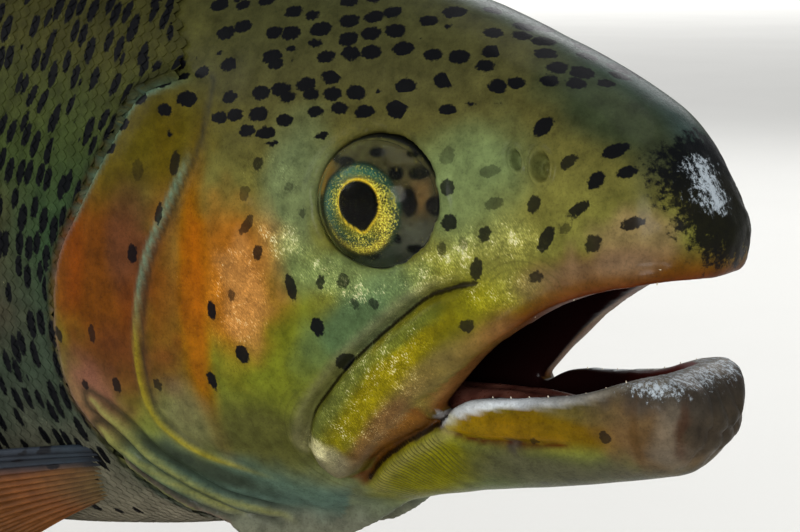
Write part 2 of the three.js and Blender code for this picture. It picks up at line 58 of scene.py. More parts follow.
# ------------------------------------------------------------------------- numbers and curves
class Curve:
    """A smooth curve through (x, y) knots that never overshoots them."""

    def __init__(self, *knots: tuple[float, float]) -> None:
        """Works out the slope at each knot.

        Args:
            knots: the (x, y) pairs, with x rising.
        """
        self.x, self.y = np.array(knots, float).T
        step = np.diff(self.x)
        slope = np.diff(self.y) / step
        self.slope = np.zeros_like(self.y)
        for i in range(1, len(self.x) - 1):
            if slope[i - 1] * slope[i] > 0:
                before, after = 2 * step[i] + step[i - 1], step[i] + 2 * step[i - 1]
                self.slope[i] = (before + after) / (before / slope[i - 1] + after / slope[i])
        self.slope[0], self.slope[-1] = slope[0], slope[-1]

    def __call__(self, x: Array | float) -> Array:
        """The curve's height at x, held at its end values outside the knots."""
        x = np.clip(np.asarray(x, float), self.x[0], self.x[-1])
        i = np.clip(np.searchsorted(self.x, x, side="right") - 1, 0, len(self.x) - 2)
        step = self.x[i + 1] - self.x[i]
        t = (x - self.x[i]) / step
        return ((2 * t**3 - 3 * t**2 + 1) * self.y[i] + (t**3 - 2 * t**2 + t) * step * self.slope[i]
                + (3 * t**2 - 2 * t**3) * self.y[i + 1] + (t**3 - t**2) * step * self.slope[i + 1])


class Line:
    """A smooth line drawn on the side of the fish, in (s, z), to measure distances from."""

    def __init__(self, *points: tuple[float, float], fine: int = 5, closed: bool = False) -> None:
        """Fits a Catmull-Rom spline through the points.

        Args:
            points: (s, z) places on the line.
            fine: short pieces between two points.
            closed: joins the last point to the first.
        """
        knots = np.array(points, float)
        if closed:
            knots = np.vstack([knots, knots[:1]])
            ends = np.vstack([knots[-2], knots, knots[1]])
        else:
            ends = np.vstack([2 * knots[0] - knots[1], knots, 2 * knots[-1] - knots[-2]])
        t = np.linspace(0, 1, fine, endpoint=False)[:, None]
        runs = []
        for a, b, c, d in zip(ends, ends[1:], ends[2:], ends[3:]):
            runs.append(0.5 * (2 * b + (c - a) * t + (2 * a - 5 * b + 4 * c - d) * t**2
                               + (3 * b - a - 3 * c + d) * t**3))
        self.rough = knots
        self.points = np.vstack([*runs, knots[-1:]])

    def measure(self, s: Array, z: Array, near: float = 9.0) -> tuple[Array, Array]:
        """Distance from the line and place along it.

        Args:
            s: distances back from the snout.
            z: heights.
            near: places further away than this are measured from the line's knots only.

        Returns:
            The signed distance, positive to the right of the line's way as it is drawn with s to the
            right and z up, and the place along the line from 0 to 1.
        """
        signed, along = self.polyline(self.rough, s, z)
        close = np.abs(signed) < near
        if close.any():
            signed[close], along[close] = self.polyline(self.points, s[close], z[close])
        return signed, along

    @staticmethod
    def polyline(corners: Array, s: Array, z: Array) -> tuple[Array, Array]:
        """The same measures for straight pieces between corners."""
        signed = np.full(len(s), 1e3)
        square = np.zeros(len(s))
        along = np.zeros(len(s))
        runs = np.diff(corners, axis=0)
        lengths = np.hypot(runs[:, 0], runs[:, 1])
        passed = np.concatenate([[0], np.cumsum(lengths)])
        for i, (start, run) in enumerate(zip(corners, runs)):
            off_s, off_z = s - start[0], z - start[1]
            t = np.clip((off_s * run[0] + off_z * run[1]) / lengths[i] ** 2, 0, 1)
            distance = np.hypot(off_s - t * run[0], off_z - t * run[1])
            beside = (run[1] * off_s - run[0] * off_z) / lengths[i]
            gap = distance - np.abs(signed)
            # at a shared corner the run that the place lies more squarely beside gives the side
            nearer = (gap < -1e-6) | ((gap < 1e-6) & (np.abs(beside) > square))
            signed = np.where(nearer, np.where(beside < 0, -distance, distance), signed)
            square = np.where(nearer, np.abs(beside), square)
            along = np.where(nearer, (passed[i] + t * lengths[i]) / passed[-1], along)
        return signed, along

    def holds(self, s: Array, z: Array) -> Array:
        """True for the places inside a closed line."""
        inside = np.zeros(len(s), bool)
        for (s0, z0), (s1, z1) in zip(self.points, np.roll(self.points, -1, axis=0)):
            if z0 != z1:
                inside ^= ((z0 > z) != (z1 > z)) & (s < (s1 - s0) * (z - z0) / (z1 - z0) + s0)
        return inside


def smooth(low: float, high: float, x: Array) -> Array:
    """0 below low, 1 above high and a smooth step between; low may be the larger."""
    t = np.clip((np.asarray(x, float) - low) / (high - low), 0, 1)
    return t * t * (3 - 2 * t)


def bump(x: Array, width: float) -> Array:
    """A soft bump, 1 at 0 and nearly nothing past twice the width."""
    return np.exp(-(np.asarray(x, float) / width) ** 2)


def blend(a: Array, b: Array, amount: Array) -> Array:
    """Goes from a to b as the amount goes from 0 to 1, for numbers or for rows of colour."""
    amount = np.asarray(amount, float)
    if any(np.ndim(end) == 2 or np.shape(end) == (3,) for end in (a, b)) and amount.ndim == 1:
        amount = amount[:, None]
    return np.asarray(a) * (1 - amount) + np.asarray(b) * amount


def lattice_noise(points: Array, size: float, seed: int = 0) -> Array:
    """Smooth random numbers in space.

    Args:
        points: places, one per row, in mm.
        size: the distance over which the numbers change, in mm.
        seed: a different pattern for each seed.

    Returns:
        One number from -1 to 1 for each place.
    """
    q = points / size + seed * 17.31
    cell = np.floor(q).astype(np.int64)
    t = q - cell
    t = t * t * (3 - 2 * t)
    total = np.zeros(len(points))
    for corner in range(8):
        step = np.array([corner & 1, corner >> 1 & 1, corner >> 2 & 1])
        at = (cell + step).astype(np.uint64)
        mixed = at[:, 0] * np.uint64(73856093) ^ at[:, 1] * np.uint64(19349663) ^ at[:,
                                                                                     2] * np.uint64(83492791)
        mixed = (mixed ^ (mixed >> np.uint64(13))) * np.uint64(1274126177)
        value = ((mixed >> np.uint64(16)) & np.uint64(65535)).astype(float) / 32767.5 - 1
        weight = np.prod(np.where(step == 1, t, 1 - t), axis=1)
        total += weight * value
    return total


# ------------------------------------------------------------------------- the fish's form
@dataclass(frozen=True)
class Nose:
    """The round front end of a form: how far back it rounds off, and the height of its tip."""

    radius: float
    height: float


@dataclass(frozen=True)
class Form:
    """A long body with boxy-oval cross-sections, given by its outlines from above and the side."""

    top: Callable[[Array], Array]
    bottom: Callable[[Array], Array]
    half_width: Callable[[Array], Array]
    widest_at: Callable[[Array], Array]
    nose: Nose | None = None
    power: float = 2.1

    def outline(self, s: Array, grow: float = 0.0) -> tuple[Array, Array, Array, Array]:
        """Half-width, level of the widest place, top and bottom at a distance s.

        Args:
            s: distances back from the tip of the snout, in mm.
            grow: how far the form is grown, in mm.

        Returns:
            the four measures named above, in mm.
        """
        s = np.asarray(s, float)
        roundness = np.ones_like(s)
        level = np.zeros_like(s)
        if self.nose:
            reach = np.clip(1 - s / self.nose.radius, 0, 1)
            roundness = np.maximum(np.sqrt(1 - reach**2), 0.02)
            level = np.full_like(s, self.nose.height)
        squeezed = [level + (edge(s) - level) * roundness for edge in (self.widest_at, self.top, self.bottom)]
        return self.half_width(s) * roundness + grow, squeezed[0], squeezed[1] + grow, squeezed[2] - grow

    def section(self, s: float, count: int, grow: float = 0.0) -> Array:
        """Corners of the cross-section at s, one (s, y, z) per row, from the left side over the top."""
        return self.place(np.full(count, float(s)), np.linspace(0, 2 * np.pi, count, endpoint=False), grow)

    def place(self, s: Array, angle: Array, grow: float = 0.0) -> Array:
        """Places on the surface.

        Args:
            s: distances back from the snout.
            angle: 0 on the left side, a quarter turn at the top.
            grow: how far outside the surface the places lie.

        Returns:
            One (s, y, z) per row.
        """
        across, middle, top, bottom = self.outline(s, grow)
        cosine, sine = (np.sign(v) * np.abs(v) ** (2 / self.power) for v in (np.cos(angle), np.sin(angle)))
        z = middle + np.where(sine > 0, sine * (top - middle), sine * (middle - bottom))
        return np.column_stack([s, across * cosine, z])

    def angle(self, points: Array) -> Array:
        """Angle round the section at which each (s, y, z) place lies, on the left for either side."""
        s, y, z = points.T
        across, middle, top, bottom = self.outline(s)
        height = np.where(z > middle, (z - middle) / (top - middle), (middle - z) / (middle - bottom))
        rise = np.clip(height, 0, None) ** (self.power / 2) * np.where(z > middle, 1, -1)
        return np.arctan2(rise, np.clip(np.abs(y) / across, 1e-6, None) ** (self.power / 2))

    def side_at(self, s: Array, z: Array, grow: float = 0.0) -> Array:
        """Half-width of the surface at places seen from the side, 0 outside its outline."""
        across, middle, top, bottom = self.outline(s, grow)
        reach = np.where(z > middle, (z - middle) / np.maximum(top - middle, 1e-3),
                         (middle - z) / np.maximum(middle - bottom, 1e-3))
        return across * np.clip(1 - np.clip(reach, 0, 1) ** self.power, 0, 1) ** (1 / self.power)


BODY = Form(
    top=Curve((0, 10), (3, 13.3), (7, 16.6), (12, 20), (18, 23.3), (25, 26.6), (33, 30.2), (42, 33.5),
              (57, 38),
              (77, 43), (101, 48.5), (130, 53.5), (165, 57.5), (200, 57.5), (240, 52.5), (280, 44.5),
              (320, 35.5),
              (355, 28), (385, 24), (400, 24.5)),
    bottom=Curve((0, -24), (10, -28), (20, -30), (33, -32.5), (45, -35), (60, -38.5), (77, -42.5), (101, -47),
                 (130, -50.5), (165, -52), (200, -51.5), (240, -47.5), (280, -39.5), (320, -28.5), (355, -20),
                 (385, -16.5), (400, -17)),
    half_width=Curve((0, 9.4), (4, 10.1), (9, 11), (15, 12), (22, 13), (30, 14.3), (38, 15.9), (45, 17.4),
                     (57, 20.6), (70, 23), (82, 24.6), (101, 25.2), (130, 27.5), (165, 29), (200, 28.5),
                     (240, 26),
                     (280, 21.5), (320, 16), (355, 11), (385, 7.5), (400, 4.5)),
    widest_at=Curve((0, 1), (10, 0), (20, -2), (32, -5), (45, -8.5), (60, -10), (80, -9), (101, -4), (130, 1),
                    (165, 4), (300, 6), (400, 4)),
    nose=Nose(radius=8, height=3.5),
)
JAW = Form(
    top=lambda s: np.full_like(s, -8.0),
    bottom=Curve((0, -24), (4, -26.5), (12, -28.6), (24, -31), (38, -33.4), (50, -36.4), (64, -41)),
    half_width=Curve((0, 7), (5, 8.6), (12, 9.9), (22, 11.2), (34, 12.6), (48, 14.6), (64, 18)),
    widest_at=lambda s: np.full_like(s, -17.5),
    nose=Nose(radius=7, height=-18.5),
)
MOUTH_ROOF = Curve((3, -3.4), (10, 0), (20, -0.6), (34, -5.6), (50, -11), (66, -18))
MOUTH_FLOOR = Curve((3, -9), (6, -12.5), (9, -17.5), (14, -21.5), (20, -24), (34, -26.4), (50, -27),
                    (66, -22))
MOUTH = Form(
    top=MOUTH_ROOF,
    bottom=MOUTH_FLOOR,
    half_width=Curve((3, 2.5), (8, 5.6), (16, 7.8), (30, 9.6), (46, 9.4), (60, 6), (66, 2)),
    widest_at=lambda s: (MOUTH_ROOF(s) + MOUTH_FLOOR(s)) / 2,
)

# Lines on the side of the head, each drawn from the front or the top
UPPER_LIP = Line((-6, -2.2), (3, -2.8), (11, -4), (17, -5.8), (22, -8.4), (28, -12.4), (35.5, -19.6))
LOWER_LIP = Line((-6, -28), (0.2, -20), (2, -17), (4.8, -15.1), (8, -14.6), (11.5, -15.5), (16, -16.9),
                 (24, -17.9),
                 (31, -18.6), (35.5, -21))
JAW_FOLD = Line((37, -21.6), (34, -22.9), (29.5, -23.7), (24.5, -23.5), (19, -23.2), (14, -22.8))
MAXILLA = Line((22, -5.2), (26.5, -3.6), (30.6, -4.4), (34.1, -5.7), (37.7, -8.2), (41.5, -11.1),
               (45.6, -14.5),
               (49.1, -18.1), (52.1, -21.4), (54.2, -25.5), (54.4, -28.6), (52.4, -31), (49.2, -29.6),
               (46, -26.5),
               (41.4, -22.6), (36.5, -18.8), (32, -15.6), (27, -11.6), (23, -8.9), closed=True)
CORNER_FOLD = Line((34.5, -21.2), (36, -22.4), (38.6, -23.9), (41.1, -25.2), (46, -28.4), (49, -31),
                   (51.5, -33))
MAXILLA_TOP = Line((23, -3.4), (26.5, -3.6), (30.6, -4.4), (34.1, -5.7), (37.7, -8.2), (41.5, -11.1),
                   (45.6, -14.5),
                   (49.1, -18.1), (52.1, -21.4), (54.3, -25.5))
PREOPERCLE = Line((60, -33), (67, -30.6), (72, -29), (76, -26.6), (79.2, -22), (79, -12), (76.4, -1.3),
                  (71.5, 8),
                  (68.4, 15), (67.6, 22))
GILL_EDGE = Line((64, 22.2), (68, 22.9), (73, 22.7), (78.6, 20.6), (82.4, 15), (88.5, 6), (93.6, -1.5),
                 (95.8, -11),
                 (95.4, -21), (91, -28), (86, -33.5), (81, -38), (76, -41))
GILL_RAYS = (Line((90, -22), (86.6, -24.3), (84, -26.6), (81.8, -29.6), (78.5, -32.4), (74, -36), (70, -38),
                  (66, -40.5)),
             Line((90, -26.5), (85.9, -29.9), (82.6, -32.6), (77.8, -36), (73, -39.6)),
             Line((89.6, -30.2), (86.5, -33.9), (83, -37.2), (79, -40)))
COAT_EDGE = Line((86, 72), (81, 48), (76, 32), (72, 25), (78, 22.6), (82.4, 16.5), (88.5, 7.5), (94.4, -1),
                 (97, -11), (96.4, -21), (92.4, -29), (87, -38), (78, -48), (66, -62))


@dataclass(frozen=True)
class Attitude:
    """How the straight fish is bent, pitched and held on its stand."""

    snout_x: float = 228.0
    snout_height: float = 125.0
    pitch: float = math.radians(4.26)
    sway: float = 16.0
    sway_from: float = 150.0
    sway_length: float = 300.0

    def place(self, points: Array) -> Array:
        """Places in the row's frame, in metres, for (s, y, z) rows in mm.

        Args:
            points: (s, y, z) rows in mm.

        Returns:
            the same places as rows in the row's frame.
        """
        s, y, z = np.asarray(points, float).T
        u = np.maximum(0, s - self.sway_from) / self.sway_length
        slope = 2 * self.sway * u / self.sway_length
        turn = np.hypot(1, slope)
        x = -s + y * slope / turn
        across = self.sway * u * u + y / turn
        cosine, sine = math.cos(self.pitch), math.sin(self.pitch)
        return MM * np.column_stack([self.snout_x + cosine * x - sine * z, across,
                                     self.snout_height + sine * x + cosine * z])


ATTITUDE = Attitude()


# ------------------------------------------------------------------------- mesh helpers
def new_object(name: str, mesh: bpy.types.Mesh) -> bpy.types.Object:
    """Links an object that shows the mesh, at the origin."""
    piece = bpy.data.objects.new(name, mesh)
    bpy.context.scene.collection.objects.link(piece)
    return piece


def finish_mesh(shape: bmesh.types.BMesh, name: str) -> bpy.types.Mesh:
    """Turns a bmesh into a mesh and frees it."""
    mesh = bpy.data.meshes.new(name)
    shape.to_mesh(mesh)
    shape.free()
    return mesh


def loft(sections: Sequence[Array]) -> bmesh.types.BMesh:
    """A closed skin over rings of points.

    Args:
        sections: rings with the same number of (x, y, z) corners.

    Returns:
        The bmesh, capped at both ends, with its faces outwards.
    """
    shape = bmesh.new()
    rings = []
    for corners in sections:
        made = bmesh.ops.create_circle(shape, segments=len(corners), radius=1)
        for vert, corner in zip(made["verts"], corners):
            vert.co = corner
        rings.append(sorted({e for v in made["verts"] for e in v.link_edges}, key=lambda e: e.index))
    for near, far in zip(rings, rings[1:]):
        bmesh.ops.bridge_loops(shape, edges=near + far)
    bmesh.ops.holes_fill(shape, edges=rings[0] + rings[-1], sides=0)
    bmesh.ops.recalc_face_normals(shape, faces=shape.faces)
    return shape


def positions(mesh: bpy.types.Mesh) -> Array:
    """The mesh's vertices, one per row."""
    flat = np.empty(len(mesh.vertices) * 3, np.float32)
    mesh.vertices.foreach_get("co", flat)
    return flat.reshape(-1, 3).astype(float)


def set_positions(mesh: bpy.types.Mesh, points: Array) -> None:
    """Moves the mesh's vertices to the rows of points."""
    mesh.vertices.foreach_set("co", np.asarray(points, np.float32).ravel())
    mesh.update()


def normals(mesh: bpy.types.Mesh) -> Array:
    """The mesh's vertex normals, one per row."""
    flat = np.empty(len(mesh.vertices) * 3, np.float32)
    mesh.vertex_normals.foreach_get("vector", flat)
    return flat.reshape(-1, 3).astype(float)


def store(mesh: bpy.types.Mesh, name: str, values: Array) -> None:
    """Keeps one number, or one colour, for each vertex under a name that materials read."""
    if values.ndim == 1:
        layer = mesh.attributes.new(name, "FLOAT", "POINT")
        layer.data.foreach_set("value", values.astype(np.float32))
    else:
        layer = mesh.attributes.new(name, "FLOAT_COLOR", "POINT")
        rgba = np.ones((len(values), 4), np.float32)
        rgba[:, :values.shape[1]] = values
        layer.data.foreach_set("color", rgba.ravel())


def applied(piece: bpy.types.Object, kind: str, **settings: object) -> None:
    """Runs one modifier on a piece and keeps its result as the piece's mesh."""
    modifier = piece.modifiers.new(kind.lower(), kind)
    for key, value in settings.items():
        setattr(modifier, key, value)
    graph = bpy.context.evaluated_depsgraph_get()
    result = bpy.data.meshes.new_from_object(piece.evaluated_get(graph), depsgraph=graph)
    piece.modifiers.clear()
    piece.data = result


def relax(points: Array, edges: Array, times: int, amount: float | Array = 0.5) -> Array:
    """Moves each point towards the mean of its neighbours.

    Args:
        points: one place per row.
        edges: pairs of point numbers.
        times: how often.
        amount: how far towards the mean, for all points or for each.

    Returns:
        The moved points.
    """
    count = np.bincount(edges.ravel(), minlength=len(points)).astype(float)[:, None]
    amount = np.broadcast_to(np.asarray(amount, float), (len(points),))[:, None]
    for _ in range(times):
        total = np.zeros_like(points)
        for axis in range(points.shape[1]):
            total[:, axis] = (np.bincount(edges[:, 0], points[edges[:, 1], axis], len(points))
                              + np.bincount(edges[:, 1], points[edges[:, 0], axis], len(points)))
        points = points + amount * (total / np.maximum(count, 1) - points)
    return points


@dataclass(frozen=True)
class EyePlace:
    """Where the eye lies in the head, in a frame turned a little towards the snout."""

    s: float = 41.5
    out: float = 12.4
    z: float = 6.2
    long: float = 9.6
    high: float = 8.9
    deep: float = 7.2
    turn: float = math.radians(12)

    def local(self, s: Array, out: Array, z: Array) -> tuple[Array, Array, Array]:
        """Forward, up and outward distances from the eye's centre."""
        cosine, sine = math.cos(self.turn), math.sin(self.turn)
        back, across = s - self.s, out - self.out
        return -back * cosine - across * sine, z - self.z, -back * sine + across * cosine

    def fish(self, forward: Array, up: Array, outward: Array, side: int) -> Array:
        """Places in the fish's frame, one (s, y, z) per row."""
        cosine, sine = math.cos(self.turn), math.sin(self.turn)
        s = self.s - forward * cosine - outward * sine
        return np.column_stack([s, side * (self.out + outward * cosine - forward * sine), self.z + up])

    def ring(self, s: Array, out: Array, z: Array) -> Array:
        """Distance from the eye's middle as a share of its size, large on the far side."""
        forward, up, outward = self.local(s, out, z)
        return np.where(outward > 0, np.hypot(forward / self.long, up / self.high), 9)


EYE = EyePlace()


# ------------------------------------------------------------------------- colours and markings
def linear(code: str) -> Array:
    """Linear red, green and blue of an sRGB hex colour."""
    value = np.array([int(code[i:i + 2], 16) for i in (1, 3, 5)]) / 255
    return np.where(value <= 0.04045, value / 12.92, ((value + 0.055) / 1.055) ** 2.4)


@dataclass(frozen=True)
class Patch:
    """A soft-edged oval of colour on the side of the fish, tilted up towards the tail by degrees."""

    colour: str
    s: float
    z: float
    length: float
    height: float
    tilt: float = 0.0
    strength: float = 1.0
    ragged: float = 0.3

    def amount(self, s: Array, z: Array, noise: Array) -> Array:
        """How much of the colour lies on each place."""
        turn = math.radians(self.tilt)
        cosine, sine = math.cos(turn), math.sin(turn)
        along = ((s - self.s) * cosine + (z - self.z) * sine) / self.length
        across = ((z - self.z) * cosine - (s - self.s) * sine) / self.height
        return self.strength * smooth(1.5, 0.5, np.hypot(along, across) * (1 + self.ragged * noise))


@dataclass(frozen=True)
class Stripe:
    """A soft stroke of colour along a line."""

    colour: str
    line: Line
    width: float
    strength: float = 1.0
    shift: float = 0.0
    start: float = -0.1
    stop: float = 1.1

    def amount(self, s: Array, z: Array, noise: Array) -> Array:
        """How much of the colour lies on each place."""
        away, along = self.line.measure(s, z)
        ends = smooth(self.start - 0.05, self.start + 0.05, along) * smooth(self.stop + 0.05,
                                                                            self.stop - 0.05, along)
        return self.strength * ends * bump(away - self.shift, self.width * (1 + 0.3 * noise))


GLEAM_BAND = Line((56, 1.5), (51.5, -2), (48, -4.2), (43, -5.6), (37.5, -5.2), (31.8, -2.4), (26, 0.2),
                  (21, 0.5))
EYE_FOLD = Line((58, 6), (54.5, 0), (50.5, -3.4), (45, -5), (39, -4.4))

HEAD_PAINT = (
    Patch("#879a6c", 27.5, 8.5, 8, 7, 0, 0.75), Patch("#7f8f6a", 53, 8, 4.5, 9, 0, 0.7),
    Patch("#8e8a50", 17, 1, 10, 7, 0, 0.65), Patch("#9c9434", 31, -9, 9, 5, -30, 0.6),
    Patch("#7c8238", 56, -15, 10, 10, 0, 0.7), Patch("#54765c", 44, -8.5, 9, 3.8, -35, 0.7),
    Patch("#7f9468", 46, -2.5, 10, 3, 0, 0.6),
    Patch("#b9733c", 62.5, -3.5, 7.5, 10, 0, 0.85), Patch("#c89a68", 60, -6, 3.5, 6, 0, 0.5, 0.7),
    Patch("#b0661f", 68.5, -7, 2.4, 17, 0, 0.8, 0.2), Patch("#8c5a32", 73, -4, 3, 16, 0, 0.7),
    Patch("#7c4020", 84, -5, 10.5, 15, 0, 0.9, 0.15), Patch("#8e4a24", 91, -3, 3, 9, 12, 0.6),
    Patch("#7d4226", 79.5, -3, 3, 12, 0, 0.5),
    Patch("#6a3e28", 84, -16, 9, 6, 0, 0.7), Patch("#5f5420", 77, 14, 10, 6.5, -20, 0.85),
    Patch("#47472c", 72, 32, 18, 9, 0, 0.7), Patch("#5a4234", 79.5, 2, 3.5, 9, 12, 0.55),
    Patch("#9a6a5c", 91, -22, 6, 6, 0, 0.7), Patch("#8a8568", 73, -24, 5, 5, 0, 0.6),
    # The grey-green patches under the throat are partly the throat's own colour and partly painted shade of
    # the underside
    Patch("#5a5834", 61, -25, 9, 5, 0, 0.8), Patch("#5f7c70", 66, -34, 16, 4, 10, 0.7),
    Patch("#55705f", 82, -33, 8, 5, -30, 0.6), Patch("#34382c", 74, -31, 9, 1.8, 22, 0.8),
    Patch("#70482a", 9, -1.9, 10, 2.6, -8, 0.85), Patch("#34412f", 11, 17, 13, 4, 32, 0.85),
    Patch("#3a4030", 4, 12, 3, 5, 20, 0.7), Patch("#a08468", 6.5, 2.8, 4, 3.5, 0, 0.6, 0.6),
    Patch("#96806a", 13, -2.5, 8, 2, -10, 0.4),
    Stripe("#74491f", UPPER_LIP, 1.3, 0.8, -0.9, 0.1, 0.75), Stripe("#6d3420", UPPER_LIP, 0.9, 0.9, 0.1, 0.1),
    Stripe("#9c7650", UPPER_LIP, 1.6, 0.75, -1.3, 0.62, 1.0),
)
MAXILLA_PAINT = (
    Patch("#746e30", 40, -17, 30, 20, -48, 0.95), Patch("#94862a", 39, -15.4, 12, 2.6, -46, 0.65, 0.8),
    Patch("#5f6c3e", 47.5, -18.6, 9, 1.8, -48, 0.6, 0.8), Patch("#64703c", 36, -9.6, 8, 1.2, -36, 0.7, 0.8),
    Patch("#86744e", 33.5, -14.8, 9, 2.0, -38, 0.7), Patch("#7c5a40", 43, -23.2, 9, 1.3, -42, 0.8),
    Patch("#8f8a74", 51.6, -28.4, 2.6, 2.4, 0, 0.75, 0.6),
    Patch("#c9c39a", 52.8, -25.8, 1.6, 1.2, 0, 0.7, 0.8),
)
JAW_PAINT = (
    Patch("#5e564a", 3, -17, 11, 13, 0, 0.98, 0.3),
    Patch("#80601c", 18, -20.5, 14, 3.2, 0, 0.85), Patch("#56563a", 26, -28, 18, 3.8, 0, 0.85),
    Patch("#6f6c4a", 14, -18.6, 9, 1.2, 4, 0.6, 0.6), Patch("#97762a", 28, -21.4, 7, 1.8, 0, 0.7),
    Patch("#7d8a62", 36, -33, 18, 3, -10, 0.6), Patch("#8f8a2a", 42, -29, 9, 5, -20, 0.9),
    Patch("#7a6248", 7, -21, 5, 7, 0, 0.8, 0.5), Patch("#4e4a44", 4.5, -15.6, 6, 3, 0, 0.85, 0.9),
    Patch("#423c35", 1.5, -18.5, 3.4, 7, 0, 0.8, 1.0), Patch("#8f8474", 4.6, -20.5, 1.6, 4.5, 12, 0.6, 0.9),
    Patch("#4a2c1c", 3.3, -20, 0.5, 3.5, 14, 0.7, 0.8), Patch("#5f4426", 8.6, -22.5, 0.6, 5, 8, 0.5, 0.6),
    # The dark stroke along the jaw fold is painted shade in its groove; a pale stroke runs beside it
    Patch("#62604c", 16, -28.5, 14, 3.4, 0, 0.7), Stripe("#4f2410", JAW_FOLD, 0.36, 0.95, 0, 0.04, 0.85),
    Stripe("#a07a20", JAW_FOLD, 0.4, 0.6, 0.85, 0.04, 0.85),
)
FLANK_LADDER = ((0.0, "#cfc7ae"), (0.1, "#a39f8a"), (0.22, "#5f6858"), (0.38, "#526450"), (0.52, "#4d6848"),
                (0.66, "#5b683e"), (0.8, "#5c5b34"), (0.92, "#4b4a2d"), (1.0, "#333a32"))
# The lowest rungs, under the throat, are partly the head's own colour and partly painted shade of the
# underside
HEAD_LADDER = ((-46, "#8f8d78"), (-36, "#73796a"), (-26, "#848a4e"), (-12, "#868a40"), (2, "#86854a"),
               (9, "#7c7846"), (15, "#66623a"), (22, "#565435"), (31, "#4a4b30"), (40, "#42473a"))


def deepened(colour: Array, strength: float = 0.54) -> Array:
    """The colour that pigment takes on under slime: darker and richer."""
    grey = colour @ np.array([0.3, 0.6, 0.1])
    return strength * np.maximum(grey[:, None] + 1.18 * (colour - grey[:, None]), 0.12 * colour)


def ladder(rungs: Sequence[tuple[float, str]], x: Array) -> Array:
    """Rows of colour that change with x from rung to rung."""
    at = [place for place, _ in rungs]
    colours = np.array([linear(code) for _, code in rungs])
    return np.column_stack([np.interp(x, at, colours[:, channel]) for channel in range(3)])


class SurfaceMap:
    """Finds places on the body by distance from the snout and by share of the way from back to belly."""

    def __init__(self, first: float = 1, last: float = 399, shares: int = 121) -> None:
        """Tabulates the angle at equal shares of each half girth."""
        self.s = np.arange(first, last + 0.5, 1.0)
        self.share = np.linspace(0, 1, shares)
        angles = np.linspace(np.pi / 2, -np.pi / 2, 361)
        self.angle = np.empty((len(self.s), shares))
        self.share_at = np.empty((len(self.s), len(angles)))
        self.half_girth = np.empty(len(self.s))
        for row, s in enumerate(self.s):
            corners = BODY.place(np.full(len(angles), s), angles)
            length = np.concatenate([[0], np.cumsum(np.linalg.norm(np.diff(corners, axis=0), axis=1))])
            self.angle[row] = np.interp(self.share * length[-1], length, angles)
            self.share_at[row] = length / length[-1]
            self.half_girth[row] = length[-1]

    def down(self, points: Array) -> tuple[Array, Array]:
        """Share of the way from back to belly of places near the surface, and the way itself in mm."""
        s = points[:, 0]
        angle = BODY.angle(points)
        row = np.clip(s - self.s[0], 0, len(self.s) - 1).round().astype(int)
        column = np.clip((np.pi / 2 - angle) / np.pi * 360, 0, 359.999)
        j = column.astype(int)
        share = self.share_at[row, j] * (1 - column + j) + self.share_at[row, j + 1] * (column - j)
        return share, share * np.interp(s, self.s, self.half_girth)

    def at(self, s: Array, share: Array, side: Array | int, grow: float = 0.0) -> Array:
        """Places on the surface, with side 1 for the fish's left and -1 for its right.

        Args:
            s: distances back from the tip of the snout, in mm.
            share: share of the way from back to belly.
            side: 1 for the fish's left, -1 for its right.
            grow: how far outside the surface, in mm.

        Returns:
            (s, y, z) rows in mm.
        """
        row = np.clip((s - self.s[0]), 0, len(self.s) - 1.001)
        column = np.clip(share, 0, 1) * (len(self.share) - 1.001)
        i, j = row.astype(int), column.astype(int)
        a, b = row - i, column - j
        angle = ((self.angle[i, j] * (1 - b) + self.angle[i, j + 1] * b) * (1 - a)
                 + (self.angle[i + 1, j] * (1 - b) + self.angle[i + 1, j + 1] * b) * a)
        points = BODY.place(s, angle, grow)
        points[:, 1] *= side
        return points

    def frame(self, s: Array, share: Array, side: Array | int) -> tuple[Array, Array, Array]:
        """Unit vectors back along the body, down round it, and out of it."""
        back = self.at(s + 0.6, share, side) - self.at(s - 0.6, share, side)
        down = self.at(s, np.clip(share + 0.008, 0, 1), side) - self.at(s, np.clip(share - 0.008, 0, 1), side)
        back /= np.linalg.norm(back, axis=1)[:, None]
        down /= np.linalg.norm(down, axis=1)[:, None]
        out = np.cross(back, down) * -np.broadcast_to(side, (len(back),))[:, None]
        return back, down, out / np.linalg.norm(out, axis=1)[:, None]


SURFACE = SurfaceMap()

